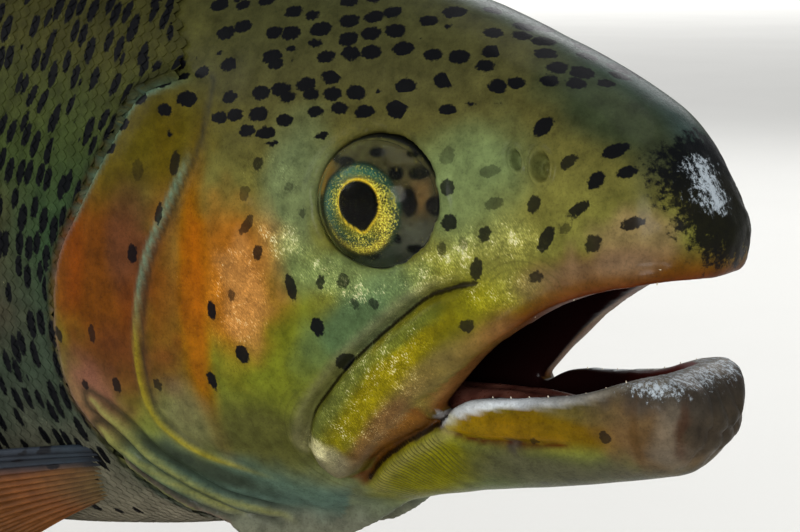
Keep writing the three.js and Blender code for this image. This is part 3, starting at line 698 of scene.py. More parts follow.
# Bold spots of the cheek, snout and gill cover: distance, height, half length, half width, lean, darkness
BOLD_SPOTS = (
    (18.9, 15.1, 1.25, 1.1, 20, 1), (30.8, 8.2, 1.05, .8, -25, .9), (30.4, 4, 1.05, .95, 0, .95),
    (31.2, 12, 1.1, .95, 0, .45), (24.3, 6.3, 1.35, .75, 75, .6), (25.2, 10.1, 1.4, .7, 80, .5),
    (19, 6.2, 1, .85, 0, .9), (25.5, 2.6, 1, .8, 10, .9), (17.3, 2.2, 1.6, .9, 20, .95),
    (28.5, 1.5, .8, .7, 0, .5),
    (31.5, .7, .9, .6, -10, .7), (26.8, -1.6, 1.4, .8, 5, .9), (18.8, -2.3, 1.0, .7, 70, .85),
    (45.5, -3.4, .95, .85, 0, .8), (48.5, -3.6, .8, .55, 0, .9), (52.8, -4.3, 1.7, .8, -8, .95),
    (49.4, -9.4, 1.2, .95, 0, 1), (43.8, -6.3, .7, .65, 0, .7), (41.1, -6.2, .75, .7, 0, .75),
    (46.3, -14, 1.5, .9, 40, .9), (28.4, -8.5, .95, .8, 75, .85), (13.2, 5.7, 1.4, .7, 55, .95),
    (6.6, 4.1, 1.35, .75, 75, .95), (11.3, 1.8, 1.1, .95, 0, .9), (14.7, 3.5, .8, .6, 60, .6),
    (11.3, 8.9, 1.05, .95, 0, 1), (7.8, 9.8, 1.15, .75, 75, 1), (14.9, 11.1, 1.1, .75, 40, .9),
    (9.6, 12.2, 1.45, .95, 60, 1), (60.9, -13.4, 1.25, 1.05, 0, 1), (65.3, -7.7, 1.25, .7, -6, 1),
    (66.6, -17.3, 1.35, .7, -6, 1), (61.9, -5.6, .7, .6, 0, .7), (57.6, .1, 1.1, .7, 15, .9),
    (59.3, 3.6, 1.6, .7, 42, .8), (59.8, 7.7, 1.0, .8, 0, .6), (78.6, -.5, 1.35, .8, 4, .95),
    (73.8, 5, 1.5, .7, 8, .9), (87.5, -11.9, 1.3, .6, 0, .8), (94.4, -12.4, 1.2, .7, -12, .9),
    (84.4, -19.2, 1.2, .75, 0, .9), (76.4, -18.6, .9, .75, 0, .8), (90.7, -19.5, .8, .6, 0, .9),
    (71.4, 11.6, 1.8, .75, 6, .85), (77.2, 10.8, 1.5, .9, -5, .45), (58, 11.5, .9, .8, 0, .8),
    (53.2, 8.4, .7, .6, 0, .5), (51.2, 5.1, .6, .6, 0, .6), (22.2, -22.6, .9, .5, 60, .7),
    (12.4, -21, .9, .7, 0, .8),
)


@dataclass
class Spots:
    """The black spots: each an oval lying on the surface."""

    seed: int = 7
    centre: Array = field(init=False)
    long_way: Array = field(init=False)
    short_way: Array = field(init=False)
    long: Array = field(init=False)
    short: Array = field(init=False)
    darkness: Array = field(init=False)

    def __post_init__(self) -> None:
        """Lays the spots out on both cheeks."""
        rng = np.random.default_rng(self.seed)
        rows = self.bold(rng)
        place = np.array([row[:3] for row in rows], float)
        side = place[:, 2]
        lean = np.radians([row[5] for row in rows])
        self.centre = SURFACE.at(place[:, 0], place[:, 1], side)
        back, down, _ = SURFACE.frame(place[:, 0], place[:, 1], side)
        self.long_way = down * np.cos(lean)[:, None] + back * np.sin(lean)[:, None]
        self.short_way = back * np.cos(lean)[:, None] - down * np.sin(lean)[:, None]
        self.long, self.short, self.darkness = (np.array([row[k] for row in rows], float) for k in (3, 4, 6))

    @staticmethod
    def bold(rng: np.random.Generator) -> list[tuple[float, ...]]:
        """Rows of distance, share, side, half length, half width, lean and darkness, on both cheeks.

        Args:
            rng: source of the random moves of the spots.

        Returns:
            one row for each spot.
        """
        rows = []
        shares = np.linspace(0.01, 0.99, 393)
        for side in (-1, 1):
            for s, z, long, short, lean, dark in BOLD_SPOTS:
                if side > 0:
                    s, z = s + rng.uniform(-1.2, 1.2), z + rng.uniform(-1, 1)
                heights = SURFACE.at(np.full(len(shares), s), shares, side)[:, 2]
                rows.append((s, float(np.interp(-z, -heights, shares)), side, long, short, lean, dark))
        return rows

    def field(self, points: Array, reach: float = 0.9) -> tuple[Array, Array]:
        """Distance to the rim of the nearest spot, negative inside it, and that spot's darkness.

        Args:
            points: places near the surface, one (s, y, z) per row.
            reach: how far outside a spot the distance is worked out.

        Returns:
            the distance in mm, and the darkness.
        """
        tree = KDTree(len(points))
        for i, point in enumerate(points):
            tree.insert(point, i)
        tree.balance()
        distance = np.full(len(points), reach)
        darkness = np.ones(len(points))
        for k, centre in enumerate(self.centre):
            near = [item[1] for item in tree.find_range(centre, self.long[k] + reach)]
            if not near:
                continue
            gap = points[near] - centre
            share = np.hypot(gap @ self.long_way[k] / self.long[k], gap @ self.short_way[k] / self.short[k])
            rim = (share - 1) * math.sqrt(self.long[k] * self.short[k])
            nearer = rim < distance[near]
            chosen = np.array(near)[nearer]
            distance[chosen] = rim[nearer]
            darkness[chosen] = self.darkness[k]
        return distance, darkness


class Markings:
    """Works out the fish's colours, the same for its skin and its scales."""

    def __init__(self) -> None:
        """Lays out the spots."""
        self.spots = Spots()

    @staticmethod
    def crease(points: Array) -> Array:
        """Distance to the nearest sharp crease, in mm, as it is drawn on the skin; the skin's material
        darkens along it as painted shade.
        """
        s, z = points[:, 0], points[:, 2]
        total = np.full(len(s), 2.0)
        for line, shift, start, stop in ((MAXILLA_TOP, 0.35, 0.05, 1.0), (CORNER_FOLD, 0.2, -1, 0.97),
                                         (GILL_EDGE, 1.0, 0.1, 1.1)):
            away, along = line.measure(s, z)
            beyond = smooth(start + 0.06, start, along) + smooth(stop - 0.12, stop, along)
            total = np.minimum(total, np.abs(away + shift) + 1.2 * beyond)
        return total

    @staticmethod
    def flank_cells(points: Array) -> Array:
        """Places among the flank's small spots, in spots, and how many of the spots are there.

        Args:
            points: (s, y, z) rows in mm.

        Returns:
            one row for each point.
        """
        s, _, z = points.T
        share, down = SURFACE.down(points)
        rear = smooth(135, 215, SURFACE.s)
        passed = np.cumsum(1 / (2.3 + 1.6 * rear))
        bowed = s - 0.1 * down + 0.006 * np.clip(z + 9, -30, 32) ** 2 * (1 - 0.75 * smooth(120, 230, s))
        along = np.interp(bowed, SURFACE.s, passed)
        lower = 0.86 * smooth(0.44, 0.7, share) * smooth(112, 150, s) + 0.6 * smooth(0.68, 0.84, share)
        chance = (0.95 - lower - 0.25 * smooth(200, 260, s) * smooth(0.3, 0.5, share)) * smooth(0.93, 0.88,
                                                                                                share)
        behind = -COAT_EDGE.measure(s, z)[0]
        return np.column_stack([along, down / 5.2, chance * smooth(-0.5, 0.9, behind)])

    @staticmethod
    def crown_cells(points: Array) -> Array:
        """The same for the spots on the top of the head."""
        s, _, z = points.T
        _, down = SURFACE.down(points)
        low = z - 14 - 4 * smooth(60, 35, s)
        along, across = 0.87 * s + 0.5 * down, 0.87 * down - 0.5 * s
        behind = -COAT_EDGE.measure(s, z)[0]
        chance = 0.9 * smooth(-4, 3, low) * smooth(6, 9, s) * smooth(0.6, -0.6,
                                                                     behind) * (1 - 0.35 * smooth(50, 75, s))
        return np.column_stack([along / 4.0, across / 2.3 + 47.3, chance])

    def tint(self, points: Array) -> Array:
        """Colour of the outer surface at each place, without the spots, with painted shade in the head's
        grooves and creases and painted highlight on its gill rays.
        """
        behind = -COAT_EDGE.measure(points[:, 0], points[:, 2])[0]
        colour = self.flank_tint(points)
        ahead = behind < 3
        if ahead.any():
            colour[ahead] = self.head_tint(points[ahead], colour[ahead], behind[ahead])
        return deepened(colour)

    @staticmethod
    def flank_tint(points: Array) -> Array:
        """Colour of the body behind the head."""
        s, z = points[:, 0], points[:, 2]
        noise = 0.7 * lattice_noise(points, 6, 3) + 0.5 * lattice_noise(points, 2.2, 5)
        _, _, top, bottom = BODY.outline(np.maximum(s, 1))
        height = np.clip((z - bottom) / (top - bottom), 0, 1)
        flank = ladder(FLANK_LADDER, height + 0.035 * noise)
        stripe = smooth(0.17, 0.06, np.abs(height - 0.47 + 0.02 * noise)) * smooth(94, 130, s)
        return blend(flank, linear("#a85c56"), 0.62 * stripe * (0.8 + 0.3 * noise))

    @staticmethod
    def head_tint(points: Array, flank: Array, behind: Array) -> Array:
        """Colour of the head, passing into the flank's behind it, with painted shade in its grooves and
        creases and on the throat's underside, and painted highlight along the gill rays.
        """
        s, out, z = points[:, 0], np.abs(points[:, 1]), points[:, 2]
        broad = lattice_noise(points, 6, 3)
        fine = lattice_noise(points, 2.2, 5)
        noise = 0.7 * broad + 0.5 * fine
        head = ladder(HEAD_LADDER, z + 1.6 * noise)
        for mark in HEAD_PAINT:
            head = blend(head, linear(mark.colour), mark.amount(s, z, noise))
        head = blend(head, linear("#3a4d4c"),
                     0.75 * smooth(5.5, 0.5, out) * smooth(9, 14, z) * smooth(60, 40, s))
        inside = MAXILLA.holds(s, z) & (s < 57)
        plate = head
        for mark in MAXILLA_PAINT:
            plate = blend(plate, linear(mark.colour), mark.amount(s, z, noise))
        head = blend(head, plate, inside * smooth(23, 33, s))
        lower, _ = LOWER_LIP.measure(s, z)
        joint = 41.5 + (-23.2 - z) * 1.15
        on_jaw = ((z < -12) & (lower > -0.4) | (z < -9) & (s < 12)) & (s < joint) & ~inside
        jaw = ladder(HEAD_LADDER, z + 1.6 * noise)
        for mark in JAW_PAINT:
            jaw = blend(jaw, linear(mark.colour), mark.amount(s, z, noise))
        gum_width = np.interp(s, (2, 5, 8, 12, 24, 30, 36), (0.1, 0.3, 0.6, 0.8, 0.9, 1.7, 1.4))
        gum = smooth(gum_width + 0.3, gum_width - 0.35,
                     lower + 0.25 * fine) * smooth(3, 6, s) * smooth(36.4, 35.2, s)
        jaw = blend(jaw, blend(linear("#8f897c"), linear("#f1f7fb"), smooth(11, 25, s)),
                    gum * (0.85 + 0.15 * broad))
        head = np.where(on_jaw[:, None], jaw, head)
        ridge, along = PREOPERCLE.measure(s, z)
        upper = smooth(0.42, 0.6, along)
        head = blend(head, linear("#86a58c"), 0.75 * bump(ridge, 0.48) * upper * smooth(14, 9, z))
        head = blend(head, linear("#b7a94e"), 0.8 * bump(ridge, 0.5) * (1 - upper) * smooth(0.02, 0.2, along))
        # Painted shade in the groove beside the preopercle's ridge
        head = blend(head, linear("#33332c"), 0.65 * bump(ridge + 1.0, 0.5) * smooth(0.1, 0.3, along))
        edge, along_edge = GILL_EDGE.measure(s, z)
        colour = blend(head, flank, smooth(blend(-0.4, -12, smooth(20, 26, z)),
                                           blend(0.6, 2.5, smooth(20, 26, z)), behind))
        rim = bump(edge - 0.4, 0.5) * smooth(0.06, 0.16, along_edge)
        rim_colour = np.where((z > 4)[:, None], linear("#7fa08c"), linear("#9b8578"))
        colour = blend(colour, rim_colour, 0.75 * rim)
        # Painted shadow in the slot under the gill cover's edge
        colour = blend(colour, linear("#33332a"),
                       0.75 * bump(edge + 1.1, 0.8) * smooth(0.06, 0.16, along_edge))
        # Painted highlight along each gill ray and painted shade in the grooves beside it
        for line in GILL_RAYS:
            away, along = line.measure(s, z)
            colour = blend(colour, linear("#a8a86a"), 0.75 * bump(away, 0.5) * smooth(1.02, 0.85, along))
            colour = blend(colour, linear("#24291f"),
                           0.75 * bump(np.abs(away) - 1.5, 0.7) * smooth(1.02, 0.85, along))
        fold, along = CORNER_FOLD.measure(s, z)
        web = smooth(-4.5, -3.2, fold) * smooth(0.5, -0.5, fold) * smooth(0.0, 0.1, along) * smooth(1.0, 0.9,
                                                                                                    along)
        colour = blend(colour, linear("#7d4c2a"), 0.85 * web * ~MAXILLA.holds(s, z))
        # Painted shade in the corner fold's groove; a pale stroke runs along the raised skin next to it
        colour = blend(colour, linear("#3a200f"), 0.8 * bump(fold + 0.6, 0.9) * smooth(1.02, 0.85, along))
        colour = blend(colour, linear("#a7a06a"), 0.6 * bump(fold - 1.4, 0.7) * smooth(1.02, 0.85, along))
        crease, along = MAXILLA_TOP.measure(s, z)
        # Painted shade in the groove above the jaw plate; a pale stroke runs along the raised skin next to it
        colour = blend(colour, linear("#2c2817"), 0.6 * bump(crease + 0.5, 0.7) * smooth(0.05, 0.2, along))
        colour = blend(colour, linear("#8f8a6a"), 0.5 * bump(crease + 1.5, 0.7) * smooth(0.1, 0.3, along))
        return colour

    def gleam(self, points: Array) -> Array:
        """How thickly metal flecks lie in the skin, from 0 to 1.

        Args:
            points: (s, y, z) rows in mm.

        Returns:
            one value for each point.
        """
        s, z = points[:, 0], points[:, 2]
        noise = lattice_noise(points, 3, 11)
        amount = 0.95 * bump(GLEAM_BAND.measure(s, z)[0] - 1.2, 3.2)
        for patch in (Patch("", 42, -17, 14, 6, -48, 0.8), Patch("", 61, -6, 5.5, 8.5, 0, 0.75),
                      Patch("", 24, -4, 6, 3, -15, 0.7), Patch("", 52, -25.5, 3, 2.6, 0, 1.0),
                      Patch("", 56, 10, 5, 3, 30, 0.5), Patch("", 34, -26, 14, 4, 0, 0.3),
                      Patch("", 68, -12, 18, 16, 0, 0.22)):
            amount = np.maximum(amount, patch.amount(s, z, noise))
        return np.clip(amount * (0.9 + 0.35 * noise), 0, 1)


# ------------------------------------------------------------------------- finishes
def add(tree: bpy.types.NodeTree, kind: str, inputs: dict[int | str, object] | None = None,
        out: int | str = 0, **settings: object) -> bpy.types.NodeSocket:
    """Adds one node.

    Args:
        tree: the material's nodes.
        kind: the node's type, without its ShaderNode prefix.
        inputs: plain values, or other nodes' sockets to link, by socket name or number.
        out: the socket that is wanted.
        **settings: the node's own settings.

    Returns:
        The wanted output socket.
    """
    made = tree.nodes.new("ShaderNode" + kind)
    for key, value in settings.items():
        setattr(made, key, value)
    for key, value in (inputs or {}).items():
        if isinstance(value, bpy.types.NodeSocket):
            tree.links.new(value, made.inputs[key])
        else:
            made.inputs[key].default_value = value
    return made.outputs[out]


def rgba(code: str) -> tuple[float, float, float, float]:
    """A node's colour value for a hex colour."""
    return (*linear(code), 1.0)


def start(name: str) -> tuple[bpy.types.Material, bpy.types.NodeTree, bpy.types.Node, bpy.types.NodeSocket]:
    """A new material with its nodes, its main shader, and places on the object in millimetres."""
    material = bpy.data.materials.new(name)
    material.use_nodes = True
    tree = material.node_tree
    place = add(tree, "VectorMath", {0: add(tree, "TexCoord", out="Object"), "Scale": 1 / MM},
                operation="SCALE")
    return material, tree, tree.nodes["Principled BSDF"], place


@dataclass(frozen=True)
class WetSkin:
    """Fish skin under clear slime.

    Colour lies under a thin wet gloss, peppered with fine dark cells, and flecked with metal where the
    skin holds mirror cells; the flecks' pale colours and the brighter glow round them are painted glints.
    Creases and wrinkle lines are darkened as painted shade, and the inside of the mouth darkens deeper in
    as painted shade. The black spots have slightly ragged rims.
    """

    name: str = "slimed_trout_skin"
    spot: str = "#07080c"
    worn: str = "#a7b1b8"
    # the flecks' pale colours are painted glints on the mirror cells
    fleck_glint: str = "#f3d35c"
    cool_fleck_glint: str = "#e4edcf"
    mottle_mm: float = 2.6
    pepper_mm: float = 0.3
    fleck_mm: float = 0.15
    roughness: float = 0.36
    scaled: bool = False

    @staticmethod
    def attribute(tree: bpy.types.NodeTree, name: str, out: str = "Fac") -> bpy.types.NodeSocket:
        """A value painted on the mesh."""
        return add(tree, "Attribute", out=out, attribute_name=name)

    def small_spots(self, tree: bpy.types.NodeTree, cells: str, cell_mm: float) -> bpy.types.NodeSocket:
        """Distance in mm to the rim of the nearest small spot, with one in each cell of the given net.

        Args:
            tree: the material's nodes.
            cells: name of the attribute that holds the net.
            cell_mm: size of one cell, in mm.

        Returns:
            the socket that carries the distance.
        """
        place = self.attribute(tree, cells, "Color")
        chance = add(tree, "SeparateColor", {0: place}, out=2)
        settings = {"voronoi_dimensions": "2D"}
        seeds = {"Vector": place, "Scale": 1.0, "Randomness": 0.72}
        distance = add(tree, "TexVoronoi", seeds, out="Distance", **settings)
        random = add(tree, "TexVoronoi", seeds, out="Color", **settings)
        spare = add(tree, "Math", {0: chance, 1: add(tree, "SeparateColor", {0: random}, out=0)},
                    operation="SUBTRACT")
        there = add(tree, "MapRange", {0: spare, 1: 0.0, 2: 0.16, 3: -0.5, 4: 1.0})
        size = add(tree, "MapRange", {0: add(tree, "SeparateColor", {0: random}, out=1), 1: 0, 2: 1, 3: 0.29,
                                      4: 0.42})
        radius = add(tree, "Math", {0: size, 1: there}, operation="MULTIPLY")
        gap = add(tree, "Math", {0: distance, 1: radius}, operation="SUBTRACT")
        return add(tree, "Math", {0: gap, 1: cell_mm}, operation="MULTIPLY")

    def make(self) -> bpy.types.Material:
        """Builds the material.

        Returns:
            the finished material.
        """
        material, tree, shader, place = start(self.name)
        tint = self.attribute(tree, "tint", "Color")
        mottle = add(tree, "TexNoise", {"Vector": place, "Scale": 1 / self.mottle_mm, "Detail": 6,
                                        "Roughness": 0.68})
        shade = add(tree, "MapRange", {0: mottle, 1: 0.3, 2: 0.7, 3: 0.6, 4: 1.35})
        colour = add(tree, "VectorMath", {0: tint, "Scale": shade}, operation="SCALE")
        pepper = add(tree, "TexNoise", {"Vector": place, "Scale": 1 / self.pepper_mm, "Detail": 2})
        dark = add(tree, "MapRange", {0: pepper, 1: 0.5, 2: 0.7, 3: 0, 4: 0.2},
                   interpolation_type="SMOOTHSTEP")
        colour = add(tree, "Mix", {0: dark, 6: colour, 7: rgba("#16170d")}, out=2, data_type="RGBA")
        gleam = self.attribute(tree, "gleam")
        turned = add(tree, "Mapping", {"Vector": place, "Rotation": (0, math.radians(-48), 0)},
                     vector_type="POINT")
        drawn = add(tree, "Mapping", {"Vector": turned, "Scale": (0.32, 1, 1)}, vector_type="POINT")
        silk = add(tree, "TexNoise", {"Vector": drawn, "Scale": 1 / self.fleck_mm, "Detail": 3,
                                      "Roughness": 0.6})
        clump = add(tree, "TexNoise", {"Vector": place, "Scale": 0.55, "Detail": 4})
        thick = add(tree, "MapRange", {0: clump, 1: 0.36, 2: 0.62, 3: 0.45, 4: 1.2})
        chance = add(tree, "Math", {0: gleam, 1: thick}, operation="MULTIPLY")
        level = add(tree, "Math", {0: chance, 1: 0.3, 2: silk}, operation="MULTIPLY_ADD")
        # Painted glints: where flecks lie thick, the colour round them is brightened, and the fullest flecks
        # take the pale glint colours
        soft = add(tree, "MapRange", {0: level, 1: 0.56, 2: 0.82, 3: 0, 4: 0.7},
                   interpolation_type="SMOOTHSTEP")
        soft = add(tree, "Math", {0: soft, 1: gleam}, operation="MULTIPLY")
        glint = add(tree, "MapRange", {0: level, 1: 0.8, 2: 0.95, 3: 0, 4: 0.85},
                     interpolation_type="SMOOTHSTEP")
        lit = add(tree, "VectorMath", {0: colour, "Scale": 2.6}, operation="SCALE")
        colour = add(tree, "Mix", {0: soft, 6: colour, 7: lit}, out=2, data_type="RGBA")
        fleck_glint = add(tree, "Mix", {0: clump, 6: rgba(self.fleck_glint), 7: rgba(self.cool_fleck_glint)}, out=2,
                    data_type="RGBA")
        colour = add(tree, "Mix", {0: glint, 6: colour, 7: fleck_glint}, out=2, data_type="RGBA")
        wobble = add(tree, "TexNoise", {"Vector": place, "Scale": 1.9, "Detail": 3})
        rim = self.small_spots(tree, "flank_cells", 3.0)
        height = mottle
        if not self.scaled:
            # Painted shade along the wrinkle lines: the colour darkens where each wrinkle runs, besides the
            # bump
            depth = self.attribute(tree, "fold_depth")
            wave = add(tree, "Math", {0: self.attribute(tree, "fold")}, operation="SINE")
            crease = add(tree, "MapRange", {0: wave, 1: 0.3, 2: 1, 3: 0, 4: 1})
            crease = add(tree, "Math", {0: crease, 1: depth}, operation="MULTIPLY")
            colour = add(tree, "Mix", {0: crease, 6: colour, 7: rgba("#3a3a16")}, out=2, data_type="RGBA")
            height = add(tree, "Math", {0: crease, 1: -1.5, 2: mottle}, operation="MULTIPLY_ADD")
            # Painted shade along the creases and under the gill cover's edge: the colour darkens into a thin
            # uneven line there, and the surface is bumped down too
            uneven = add(tree, "TexNoise", {"Vector": place, "Scale": 0.8, "Detail": 4, "Roughness": 0.6})
            width = add(tree, "MapRange", {0: uneven, 1: 0.3, 2: 0.7, 3: 0.28, 4: 0.7})
            cut = add(tree, "Math", {0: self.attribute(tree, "crease"), 1: width}, operation="DIVIDE")
            cut = add(tree, "MapRange", {0: cut, 1: 1.0, 2: 0.35, 3: 0, 4: 0.88},
                      interpolation_type="SMOOTHSTEP")
            colour = add(tree, "Mix", {0: cut, 6: colour, 7: rgba("#140d07")}, out=2, data_type="RGBA")
            height = add(tree, "Math", {0: cut, 1: -3.0, 2: height}, operation="MULTIPLY_ADD")
            rim = add(tree, "Math", {0: rim, 1: self.small_spots(tree, "crown_cells", 2.7)},
                      operation="MINIMUM")
            rim = add(tree, "Math", {0: rim, 1: self.attribute(tree, "spot")}, operation="MINIMUM")
        rim = add(tree, "Math", {0: wobble, 1: 0.9, 2: rim}, operation="MULTIPLY_ADD")
        inky = add(tree, "MapRange", {0: rim, 1: 0.62, 2: 0.37, 3: 0, 4: 0.98},
                   interpolation_type="SMOOTHSTEP")
        if not self.scaled:
            inky = add(tree, "Math", {0: inky, 1: self.attribute(tree, "darkness")}, operation="MULTIPLY")
            patchy = add(tree, "TexNoise", {"Vector": place, "Scale": 0.9, "Detail": 6, "Roughness": 0.72})
            ragged = add(tree, "MapRange", {0: patchy, 1: 0.3, 2: 0.7, 3: -2.4, 4: 2.4})
            tip = add(tree, "Math", {0: self.attribute(tree, "tip"), 1: ragged}, operation="ADD")
            black = add(tree, "MapRange", {0: tip, 1: -1.2, 2: 0.9, 3: 0, 4: 0.95},
                        interpolation_type="SMOOTHSTEP")
            inky = add(tree, "Math", {0: inky, 1: black}, operation="MAXIMUM")
        colour = add(tree, "Mix", {0: inky, 6: colour, 7: rgba(self.spot)}, out=2, data_type="RGBA")
        shine = glint
        if not self.scaled:
            scraped = add(tree, "Mapping", {"Vector": place, "Rotation": (0, math.radians(30), 0),
                                            "Scale": (1, 1, 0.65)})
            scraped = add(tree, "TexNoise", {"Vector": scraped, "Scale": 1.5, "Detail": 7, "Roughness": 0.8})
            torn = add(tree, "MapRange", {0: scraped, 1: 0.3, 2: 0.7, 3: -2.3, 4: 2.3})
            patch = add(tree, "Math", {0: self.attribute(tree, "worn"), 1: torn}, operation="ADD")
            white = add(tree, "MapRange", {0: patch, 1: -0.1, 2: 1.5, 3: 0, 4: 0.92},
                        interpolation_type="SMOOTHSTEP")
            colour = add(tree, "Mix", {0: white, 6: colour, 7: rgba(self.worn)}, out=2, data_type="RGBA")
            # Inside the mouth the stored tint takes over: flesh colour darkened towards the throat as painted
            # shade
            deep = self.attribute(tree, "inside")
            colour = add(tree, "Mix", {0: deep, 6: colour, 7: self.attribute(tree, "mouth_shaded_tint", "Color")},
                         out=2,
                         data_type="RGBA")
            shine = add(tree, "Math", {0: glint,
                                       1: add(tree, "Math", {0: 1.0, 1: deep}, operation="SUBTRACT")},
                        operation="MULTIPLY")
        tree.links.new(colour, shader.inputs["Base Color"])
        metal = add(tree, "Math", {0: shine, 1: 0.6}, operation="MULTIPLY")
        tree.links.new(metal, shader.inputs["Metallic"])
        rough = add(tree, "MapRange", {0: pepper, 1: 0.3, 2: 0.7, 3: self.roughness - 0.08,
                                       4: self.roughness + 0.1})
        rough = add(tree, "Math", {0: shine, 1: -0.1, 2: rough}, operation="MULTIPLY_ADD")
        tree.links.new(rough, shader.inputs["Roughness"])
        bumps = add(tree, "Math", {0: pepper, 1: 0.3, 2: height}, operation="MULTIPLY_ADD")
        bumps = add(tree, "Math", {0: silk, 1: 0.25, 2: bumps}, operation="MULTIPLY_ADD")
        normal = add(tree, "Bump", {"Strength": 0.4, "Distance": 0.14 * MM, "Height": bumps})
        tree.links.new(normal, shader.inputs["Normal"])
        shader.inputs["Coat Weight"].default_value = 0.02 if self.scaled else 0.07
        shader.inputs["Coat Roughness"].default_value = 0.2
        shader.inputs["Specular IOR Level"].default_value = 0.02
        return material


@dataclass(frozen=True)
class FinSkin:
    """Thin fin skin over bony rays: duller than the body, paler in tone, ribbed along the rays."""

    name: str = "trout_fin_skin"

    def make(self) -> bpy.types.Material:
        """Builds the material.

        Returns:
            the finished material.
        """
        material, tree, shader, place = start(self.name)
        tint = add(tree, "Attribute", out="Color", attribute_name="tint")
        mottle = add(tree, "TexNoise", {"Vector": place, "Scale": 0.4, "Detail": 5, "Roughness": 0.6})
        shade = add(tree, "MapRange", {0: mottle, 1: 0.3, 2: 0.7, 3: 0.72, 4: 1.22})
        colour = add(tree, "VectorMath", {0: tint, "Scale": shade}, operation="SCALE")
        wobble = add(tree, "TexNoise", {"Vector": place, "Scale": 1.6, "Detail": 2})
        rim = add(tree, "Math", {0: wobble, 1: 0.5,
                                 2: add(tree, "Attribute", out="Fac", attribute_name="spot")},
                  operation="MULTIPLY_ADD")
        inky = add(tree, "MapRange", {0: rim, 1: 0.4, 2: 0.08, 3: 0, 4: 0.92},
                   interpolation_type="SMOOTHSTEP")
        colour = add(tree, "Mix", {0: inky, 6: colour, 7: rgba("#101115")}, out=2, data_type="RGBA")
        tree.links.new(colour, shader.inputs["Base Color"])
        grain = add(tree, "TexNoise", {"Vector": place, "Scale": 3.2, "Detail": 3})
        rough = add(tree, "MapRange", {0: grain, 1: 0.3, 2: 0.7, 3: 0.34, 4: 0.52})
        tree.links.new(rough, shader.inputs["Roughness"])
        normal = add(tree, "Bump", {"Strength": 0.4, "Distance": 0.1 * MM, "Height": grain})
        tree.links.new(normal, shader.inputs["Normal"])
        shader.inputs["Coat Weight"].default_value = 0.1
        shader.inputs["Coat Roughness"].default_value = 0.2
        shader.inputs["Specular IOR Level"].default_value = 0.12
        return material


@dataclass(frozen=True)
class Iris:
    """The eye's painted body: a gold-flecked green iris round a black pupil, and mottled white of the eye."""

    name: str = "gold_flecked_iris"

    def make(self) -> bpy.types.Material:
        """Builds the material.

        Returns:
            the finished material.
        """
        material, tree, shader, place = start(self.name)
        tint = add(tree, "Attribute", out="Color", attribute_name="tint")
        gleam = add(tree, "Attribute", out="Fac", attribute_name="gleam")
        grains = {"Vector": place, "Scale": 4.6, "Detail": 3, "Roughness": 0.7}
        pick = add(tree, "MapRange", {0: add(tree, "TexNoise", grains), 1: 0.3, 2: 0.7, 3: 0, 4: 1})
        apart = add(tree, "Mapping", {"Vector": place, "Location": (7, 3, 5)}, vector_type="POINT")
        other = add(tree, "TexNoise", {**grains, "Vector": apart})
        other = add(tree, "MapRange", {0: other, 1: 0.35, 2: 0.65, 3: 0, 4: 1})
        shade = add(tree, "MapRange", {0: other, 1: 0, 2: 1, 3: 0.2, 4: 1.7})
        speckle = add(tree, "Mix", {0: gleam, 2: 1.0, 3: shade})
        colour = add(tree, "VectorMath", {0: tint, "Scale": speckle}, operation="SCALE")
        level = add(tree, "Math", {0: gleam, 1: 0.62, 2: pick}, operation="MULTIPLY_ADD")
        flecks = add(tree, "MapRange", {0: level, 1: 0.84, 2: 1.24, 3: 0, 4: 0.95},
                     interpolation_type="SMOOTHSTEP")
        gold = add(tree, "Mix", {0: other, 6: rgba("#8f9018"), 7: rgba("#fff06a")}, out=2, data_type="RGBA")
        colour = add(tree, "Mix", {0: flecks, 6: colour, 7: gold}, out=2, data_type="RGBA")
        tree.links.new(colour, shader.inputs["Base Color"])
        metal = add(tree, "Math", {0: gleam, 1: 0.45}, operation="MULTIPLY")
        tree.links.new(metal, shader.inputs["Metallic"])
        rough = add(tree, "MapRange", {0: pick, 1: 0, 2: 1, 3: 0.28, 4: 0.5})
        tree.links.new(rough, shader.inputs["Roughness"])
        normal = add(tree, "Bump", {"Strength": 0.3, "Distance": 0.05 * MM, "Height": pick})
        tree.links.new(normal, shader.inputs["Normal"])
        shader.inputs["Specular IOR Level"].default_value = 0.04
        return material


@dataclass(frozen=True)
class Cornea:
    """Clear moist cornea: colourless, glass-smooth, faintly uneven from the film of water on it."""

    name: str = "clear_cornea"

    def make(self) -> bpy.types.Material:
        """Builds the material."""
        material, tree, shader, place = start(self.name)
        shader.inputs["Base Color"].default_value = (1, 1, 1, 1)
        shader.inputs["Transmission Weight"].default_value = 1.0
        shader.inputs["IOR"].default_value = 1.1
        film = add(tree, "TexNoise", {"Vector": place, "Scale": 0.5, "Detail": 2})
        rough = add(tree, "MapRange", {0: film, 1: 0.3, 2: 0.7, 3: 0.0, 4: 0.035})
        tree.links.new(rough, shader.inputs["Roughness"])
        return material


